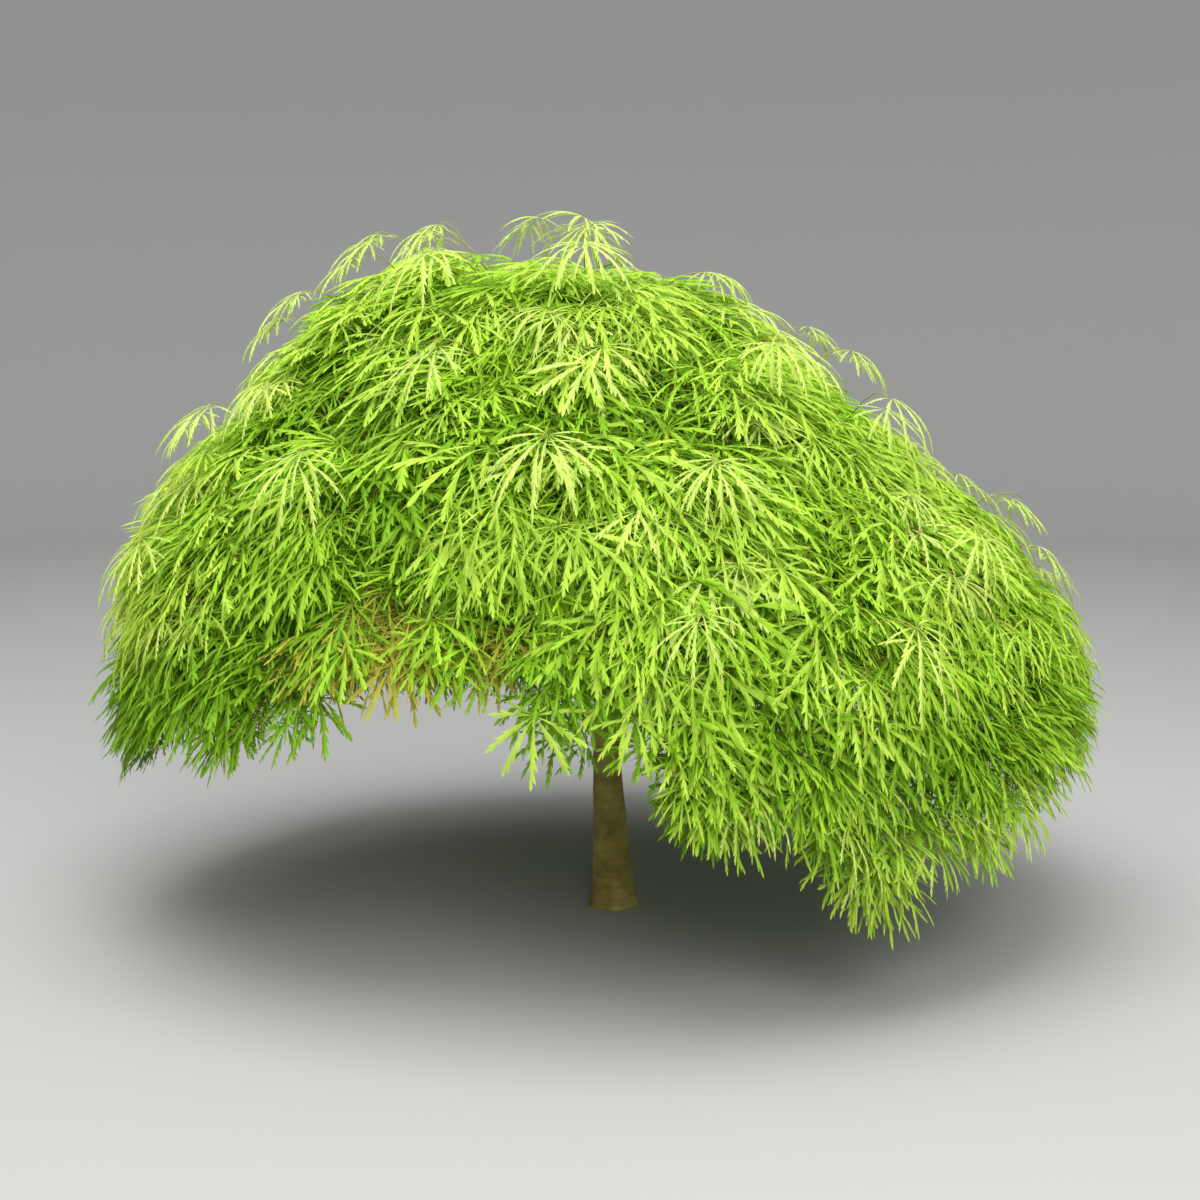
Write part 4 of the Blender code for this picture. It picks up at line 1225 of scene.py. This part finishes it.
def join_arrays(parts):
    points, faces, count = [], [], 0
    for part_points, part_faces in parts:
        points.append(part_points)
        faces.append(part_faces + count)
        count += len(part_points)
    return np.vstack(points), np.vstack(faces)


# ---------------------------------------------------------------- materials


def new_material(name, roughness):
    """A fresh material, its node tree, and the principled shader of the given roughness."""
    made = bpy.data.materials.new(name)
    made.use_nodes = True
    shader = made.node_tree.nodes["Principled BSDF"]
    shader.inputs["Roughness"].default_value = roughness
    return made, made.node_tree, shader


def wire(tree, *chain):
    """Links each node's named output to the next node's input: node, output, input, node, ..."""
    for a, out, into, b in zip(chain[0::3], chain[1::3], chain[2::3], chain[3::3]):
        tree.links.new(a.outputs[out], b.inputs[into])


def noise_node(tree, scale, detail, roughness):
    made = tree.nodes.new("ShaderNodeTexNoise")
    for name, value in (("Scale", scale), ("Detail", detail), ("Roughness", roughness)):
        made.inputs[name].default_value = value
    return made


def ramp_node(tree, *stops):
    """A colour ramp of (position, colour) stops, the outer two of them first."""
    made = tree.nodes.new("ShaderNodeValToRGB")
    elements = made.color_ramp.elements
    for element, (position, _) in zip(elements, stops):
        element.position = position
    for position, _ in stops[2:]:
        elements.new(position)
    for position, colour in stops:
        near = min(elements, key=lambda element: abs(element.position - position))
        near.color = (*colour, 1)
    return made


def leaf_material(name, colour, shade):
    """A thin leaf: its tint drifts a little over the crown, and light comes through it."""
    made, tree, shader = new_material(name, 0.60)
    shader.inputs["Specular IOR Level"].default_value = 0.22
    place = tree.nodes.new("ShaderNodeTexCoord")
    drift = noise_node(tree, 14.0, 3.0, 0.6)
    ramp = ramp_node(tree, (0.32, [c * shade for c in colour]),
                     (0.68, [min(1, c * 1.08) for c in colour]))
    wire(tree, place, "Object", "Vector", drift, "Fac", "Fac", ramp, "Color", "Base Color", shader)
    through = tree.nodes.new("ShaderNodeBsdfTranslucent")
    wire(tree, ramp, "Color", "Color", through)
    blend = tree.nodes.new("ShaderNodeMixShader")
    blend.inputs["Fac"].default_value = 0.38
    tree.links.new(shader.outputs["BSDF"], blend.inputs[1])
    tree.links.new(through.outputs["BSDF"], blend.inputs[2])
    wire(tree, blend, "Shader", "Surface", tree.nodes["Material Output"])
    return made


def bark_material(name, colour, bloom, roughness, rings):
    """Smooth bark: blotches of bloom, darker rings across it and fine streaks along it."""
    made, tree, shader = new_material(name, roughness)
    place = tree.nodes.new("ShaderNodeTexCoord")
    blotch = noise_node(tree, 16.0, 6.0, 0.62)
    tint = ramp_node(tree, (0.36, [c * 0.62 for c in colour]), (0.66, bloom), (0.50, colour))
    wire(tree, place, "Object", "Vector", blotch, "Fac", "Fac", tint)
    stretch = tree.nodes.new("ShaderNodeMapping")
    stretch.inputs["Scale"].default_value = (1.0, 1.0, rings)
    band = noise_node(tree, 9.0, 5.0, 0.7)
    lines = ramp_node(tree, (0.38, (0.62, 0.60, 0.56)), (0.60, (1.0, 1.0, 1.0)))
    wire(tree, place, "Object", "Vector", stretch, "Vector", "Vector", band, "Fac", "Fac", lines)
    tone = tree.nodes.new("ShaderNodeMix")
    tone.data_type, tone.blend_type = "RGBA", "MULTIPLY"
    tone.inputs["Factor"].default_value = 0.8
    tree.links.new(tint.outputs["Color"], tone.inputs[6])
    tree.links.new(lines.outputs["Color"], tone.inputs[7])
    tree.links.new(tone.outputs[2], shader.inputs["Base Color"])
    crease = tree.nodes.new("ShaderNodeBump")
    crease.inputs["Strength"].default_value = 0.35
    crease.inputs["Distance"].default_value = 0.0006
    wire(tree, band, "Fac", "Height", crease, "Normal", "Normal", shader)
    return made


def plain_material(name, colour, roughness):
    made, _, shader = new_material(name, roughness)
    shader.inputs["Base Color"].default_value = (*colour, 1)
    return made


# ---------------------------------------------------------------- wood

# Bark of each group of limbs: slot, height of its rings as a share, and each limb's resolution
# round and along it, and swelling of its collar
BARK = {"trunk_bark": ("bark", 1.0, 12, 190, 0.0), "bough_bark": ("bark", 0.8, 4, 64, 0.35),
        "branch_bark": ("young_bark", 0.45, 3, 50, 0.35)}
COLLAR_LENGTH = 0.035
WELD_DISTANCE = 0.00002
# Relief of the bark as noises, each with its scale and strength: how the rings drift and waver, and
# its swellings and creases, these with scales across and along. Scale of the rings' wear. The foot
# stays flat
RING_DRIFT, RING_WAVER, SWELLINGS = (9.0, 4.8), (40, 0.6), (24.0, 1.3)
CREASES = (260, 22, 0.45)
WEAR_SCALE, FLAT_FOOT = 22.0, 0.0005
# Thickness at both ends of a young shoot, a deeper spray and a leaf's stalk
SHOOT_RADII, STALK_RADII = (0.0015, 0.0009), (0.0008, 0.0006)
STALK_COLOUR = (0.46, 0.44, 0.08)


def bark_group(limb):
    """The piece of bark that covers this limb."""
    if limb.parent is None:
        return "trunk_bark"
    return "bough_bark" if limb.radii[0] > THINNEST_BOUGH else "branch_bark"


def limb_mesh(limb, sides, count, collar):
    """A round limb of a smooth curve with filled ends, before its bark's relief."""
    points, widths = smoothed(limb.route, limb.radii, count)
    run = np.r_[0, np.cumsum(np.linalg.norm(np.diff(points, axis=0), axis=1))]
    widths = widths * (1 + collar * np.exp(-((run / COLLAR_LENGTH) ** 2)))
    curve = bpy.data.curves.new(limb.name, "CURVE")
    curve.dimensions = "3D"
    curve.use_fill_caps = True
    curve.bevel_depth = 1
    curve.bevel_resolution = sides
    spline = curve.splines.new("POLY")
    spline.points.add(len(points) - 1)
    for knot, place, radius in zip(spline.points, points, widths):
        knot.co = (*place, 1)
        knot.radius = radius
    guide = new_object(limb.name, curve)
    bpy.context.view_layer.update()
    graph = bpy.context.evaluated_depsgraph_get()
    mesh = bpy.data.meshes.new_from_object(guide.evaluated_get(graph))
    bpy.data.objects.remove(guide)
    return mesh


def welded(meshes, name):
    """One mesh of several, each with its doubles merged and its faces outwards."""
    joined = bmesh.new()
    for mesh in meshes:
        joined.from_mesh(mesh)
        bpy.data.meshes.remove(mesh)
    bmesh.ops.remove_doubles(joined, verts=joined.verts, dist=WELD_DISTANCE)
    bmesh.ops.recalc_face_normals(joined, faces=joined.faces)
    made = bpy.data.meshes.new(name)
    joined.to_mesh(made)
    joined.free()
    made.shade_smooth()
    return made


def flare(mesh):
    """Spreads the foot of the trunk into buttresses, as in the solids."""
    for vertex in mesh.vertices:
        low = max(0.0, 1 - vertex.co.z / FLARE_HEIGHT) ** 2
        angle = math.atan2(vertex.co.y, vertex.co.x)
        swell = 1 + BUTTRESS_DEPTH * low * (0.5 + 0.5 * math.cos(BUTTRESSES * angle + 0.8))
        vertex.co.x *= swell
        vertex.co.y *= swell


def bark_relief(mesh, gap, height):
    """Raises worn rings, low swellings and fine lengthwise creases on the bark."""
    normals = [v.normal.copy() for v in mesh.vertices]
    for vertex, normal in zip(mesh.vertices, normals):
        p = vertex.co
        if p.z < FLAT_FOOT:
            continue
        drift, waver, swelling = (noise.noise(p * scale) * strength
                                  for scale, strength in (RING_DRIFT, RING_WAVER, SWELLINGS))
        ring = math.sin(2 * math.pi * (p.z / gap) + drift + waver)
        ring = max(0.0, ring) ** 3 * (0.5 + 0.5 * noise.noise(p * WEAR_SCALE))
        across, along, strength = CREASES
        crease = noise.noise(Vector((p.x * across, p.y * across, p.z * along))) * strength
        vertex.co = p + normal * height * (ring + swelling + crease)


# ---------------------------------------------------------------- stage

# Backdrop: radius of its floor, of the bend behind it, and its height
FLOOR_RADIUS, BACKDROP_BEND, BACKDROP_TOP = 7.0, 3.0, 9.0
# Soft lights: name, place, size and share of the overhead light's power
LIGHTS = (("overhead", (-0.6, -1.4, 5.6), 4.5, 1.0), ("front_fill", (1.6, -6.2, 4.0), 4.0, 1.15))
LIGHT_AIM = Vector((0, 0, 0.8))
SKY_COLOUR = (0.97, 0.98, 1.0, 1)
CAMERA_X = -0.027
FOCAL_LENGTH, SENSOR_WIDTH = 57.0, 36.0


def backdrop_mesh(colour):
    """A round floor that bends up into a wall all round."""
    shape = bmesh.new()
    profile = [(0.001, 0.0), (FLOOR_RADIUS, 0.0)]
    for angle in (math.radians(d) for d in range(10, 91, 10)):
        profile.append((FLOOR_RADIUS + BACKDROP_BEND * math.sin(angle),
                        BACKDROP_BEND * (1 - math.cos(angle))))
    profile.append((FLOOR_RADIUS + BACKDROP_BEND, BACKDROP_TOP))
    verts = [shape.verts.new((r, 0, z)) for r, z in profile]
    edges = [shape.edges.new(pair) for pair in zip(verts, verts[1:])]
    bmesh.ops.spin(shape, geom=[*verts, *edges], cent=(0, 0, 0), axis=(0, 0, 1),
                   angle=2 * math.pi, steps=96, use_merge=True)
    bmesh.ops.remove_doubles(shape, verts=shape.verts, dist=0.002)
    bmesh.ops.recalc_face_normals(shape, faces=shape.faces)
    mesh = bpy.data.meshes.new("floor")
    shape.to_mesh(mesh)
    shape.free()
    mesh.shade_smooth()
    mesh.materials.append(plain_material("floor", colour, 0.9))
    return mesh


def sky(strength):
    world = bpy.data.worlds.new("sky")
    world.use_nodes = True
    background = world.node_tree.nodes["Background"]
    background.inputs["Color"].default_value = SKY_COLOUR
    background.inputs["Strength"].default_value = strength
    return world


def add_light(name, place, size, power):
    lamp = bpy.data.lights.new(name, "AREA")
    lamp.energy, lamp.size = power, size
    light = new_object(name, lamp)
    light.location = place
    light.rotation_euler = (LIGHT_AIM - Vector(place)).to_track_quat("-Z", "Y").to_euler()


def add_camera(stage):
    lens = bpy.data.cameras.new("camera")
    lens.lens, lens.sensor_width = FOCAL_LENGTH, SENSOR_WIDTH
    camera = new_object("camera", lens)
    camera.location = (CAMERA_X, -stage.camera_distance, stage.camera_height)
    camera.rotation_euler = (math.pi / 2 - stage.camera_pitch, 0, 0)
    return camera


# ---------------------------------------------------------------- operators and panel


class MAPLE_OT_wood(bpy.types.Operator):
    """Model the trunk, the main boughs and the branches with their bark's relief"""

    bl_idname = "maple.wood"
    bl_label = "Trunk and Boughs"

    def execute(self, context):
        wood = context.scene.maple_wood
        limbs, _ = skeleton()
        materials = {
            "bark": bark_material("bark", wood.bark_colour, wood.lichen_colour, 0.72, 7.0),
            "young_bark": bark_material("young_bark", wood.young_colour, wood.lichen_colour,
                                        0.62, 2.5)}
        for name, (slot, share, sides, count, collar) in BARK.items():
            members = [limb for limb in limbs if bark_group(limb) == name]
            mesh = welded([limb_mesh(limb, sides, count, collar) for limb in members], name)
            if name == "trunk_bark":
                flare(mesh)
            bark_relief(mesh, wood.ring_gap, wood.ring_height * share)
            new_piece(name, mesh, materials[slot], [limb.name for limb in members])
        return {"FINISHED"}


class MAPLE_OT_twigs(bpy.types.Operator):
    """Grow the twigs of every mass, down to the stalk of each leaf"""

    bl_idname = "maple.twigs"
    bl_label = "Twigs and Leaf Stalks"

    def execute(self, context):
        growth, wood = growth_now(), context.scene.maple_wood
        material = bark_material("twig_bark", wood.twig_colour, wood.young_colour, 0.6, 2.0)
        routes, radii = zip(*growth.twigs)
        mesh = triangle_mesh("twigs", *swept(routes, radii, 5), flat=False)
        new_piece("twigs", mesh, material, [])

        routes = np.array([spray.route for spray in growth.sprays])
        young = np.array([spray.kind >= TUFT for spray in growth.sprays])
        stalks = np.stack((growth.leaves["root"], growth.leaves["centre"]), axis=1)
        shoots = []
        for lines, ends in ((routes[young], SHOOT_RADII), (routes[~young][:, ::2], SHOOT_RADII),
                            (stalks, STALK_RADII)):
            taper = np.linspace(*ends, lines.shape[1])
            shoots.append(swept(lines, np.broadcast_to(taper, lines.shape[:2]), 3))
        material = leaf_material("leaf_stalk", STALK_COLOUR, 0.8)
        mesh = triangle_mesh("leaf_stalks", *join_arrays(shoots), flat=False)
        new_piece("leaf_stalks", mesh, material, [])
        return {"FINISHED"}


class MAPLE_OT_leaves(bpy.types.Operator):
    """Grow the cut leaves in sprays, joined by tier and tint"""

    bl_idname = "maple.leaves"
    bl_label = "Leaves"

    def execute(self, context):
        settings = context.scene.maple_leaves
        leaves = growth_now().leaves
        _, masses = skeleton()
        templates = {(f, i): leaf_template(form, i, settings)
                     for f, form in enumerate(FORMS) for i in range(len(form.lobes))}
        materials = [leaf_material(f"leaf_{tint}", getattr(settings, f"{tint}_colour"), 0.78)
                     for tint in TINTS]
        for t, tier in enumerate(TIERS):
            nodes = [mass.name for mass in masses if mass.tier == tier]
            for c, tint in enumerate(TINTS):
                here = (leaves["tier"] == t) & (leaves["tint"] == c)
                parts = []
                for (f, i), template in templates.items():
                    chosen = here & (leaves["form"] == f) & (leaves["pattern"] == i)
                    if chosen.any():
                        parts.append(leaf_arrays(leaves, chosen, template))
                if parts:
                    name = f"leaves_{tier}_{tint}"
                    mesh = triangle_mesh(name, *join_arrays(parts), flat=True)
                    new_piece(name, mesh, materials[c], nodes)
        return {"FINISHED"}


class MAPLE_OT_stage(bpy.types.Operator):
    """Set the pale floor and backdrop, the soft light and the camera"""

    bl_idname = "maple.stage"
    bl_label = "Floor, Light and Camera"

    def execute(self, context):
        stage = context.scene.maple_stage
        floor = new_object("floor", backdrop_mesh(stage.floor_colour))
        context.scene.world = sky(stage.sky_strength)
        for name, place, size, share in LIGHTS:
            add_light(name, place, size, stage.key_power * share)
        context.scene.camera = add_camera(stage)
        context.scene.view_settings.view_transform = "Standard"
        return {"FINISHED"}


class MAPLE_PT_panel(bpy.types.Panel):
    """Lists the steps that grow the maple, with their settings"""

    bl_label = "Laceleaf Maple"
    bl_idname = "MAPLE_PT_panel"
    bl_space_type = "VIEW_3D"
    bl_region_type = "UI"
    bl_category = "Laceleaf Maple"

    def draw(self, context):
        for group, operators in (("maple_wood", (MAPLE_OT_wood,)),
                                 ("maple_leaves", (MAPLE_OT_twigs, MAPLE_OT_leaves)),
                                 ("maple_stage", (MAPLE_OT_stage,))):
            box = self.layout.box()
            settings = getattr(context.scene, group)
            for name in settings.bl_rna.properties.keys():
                if name not in ("rna_type", "name"):
                    box.prop(settings, name)
            for operator in operators:
                box.operator(operator.bl_idname)


SETTINGS = (("maple_wood", MapleWoodSettings), ("maple_leaves", MapleLeafSettings),
            ("maple_stage", MapleStageSettings))
OPERATORS = (MAPLE_OT_stage, MAPLE_OT_wood, MAPLE_OT_twigs, MAPLE_OT_leaves)


def register():
    for name, group in SETTINGS:
        bpy.utils.register_class(group)
        setattr(bpy.types.Scene, name, PointerProperty(type=group))
    for made in (*OPERATORS, MAPLE_PT_panel):
        bpy.utils.register_class(made)


def unregister():
    for made in (MAPLE_PT_panel, *reversed(OPERATORS)):
        bpy.utils.unregister_class(made)
    for name, group in reversed(SETTINGS):
        delattr(bpy.types.Scene, name)
        bpy.utils.unregister_class(group)


def main():
    register()
    bpy.ops.maple.stage()
    bpy.ops.maple.wood()
    bpy.ops.maple.twigs()
    bpy.ops.maple.leaves()
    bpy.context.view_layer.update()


if __name__ == "__main__":
    main()
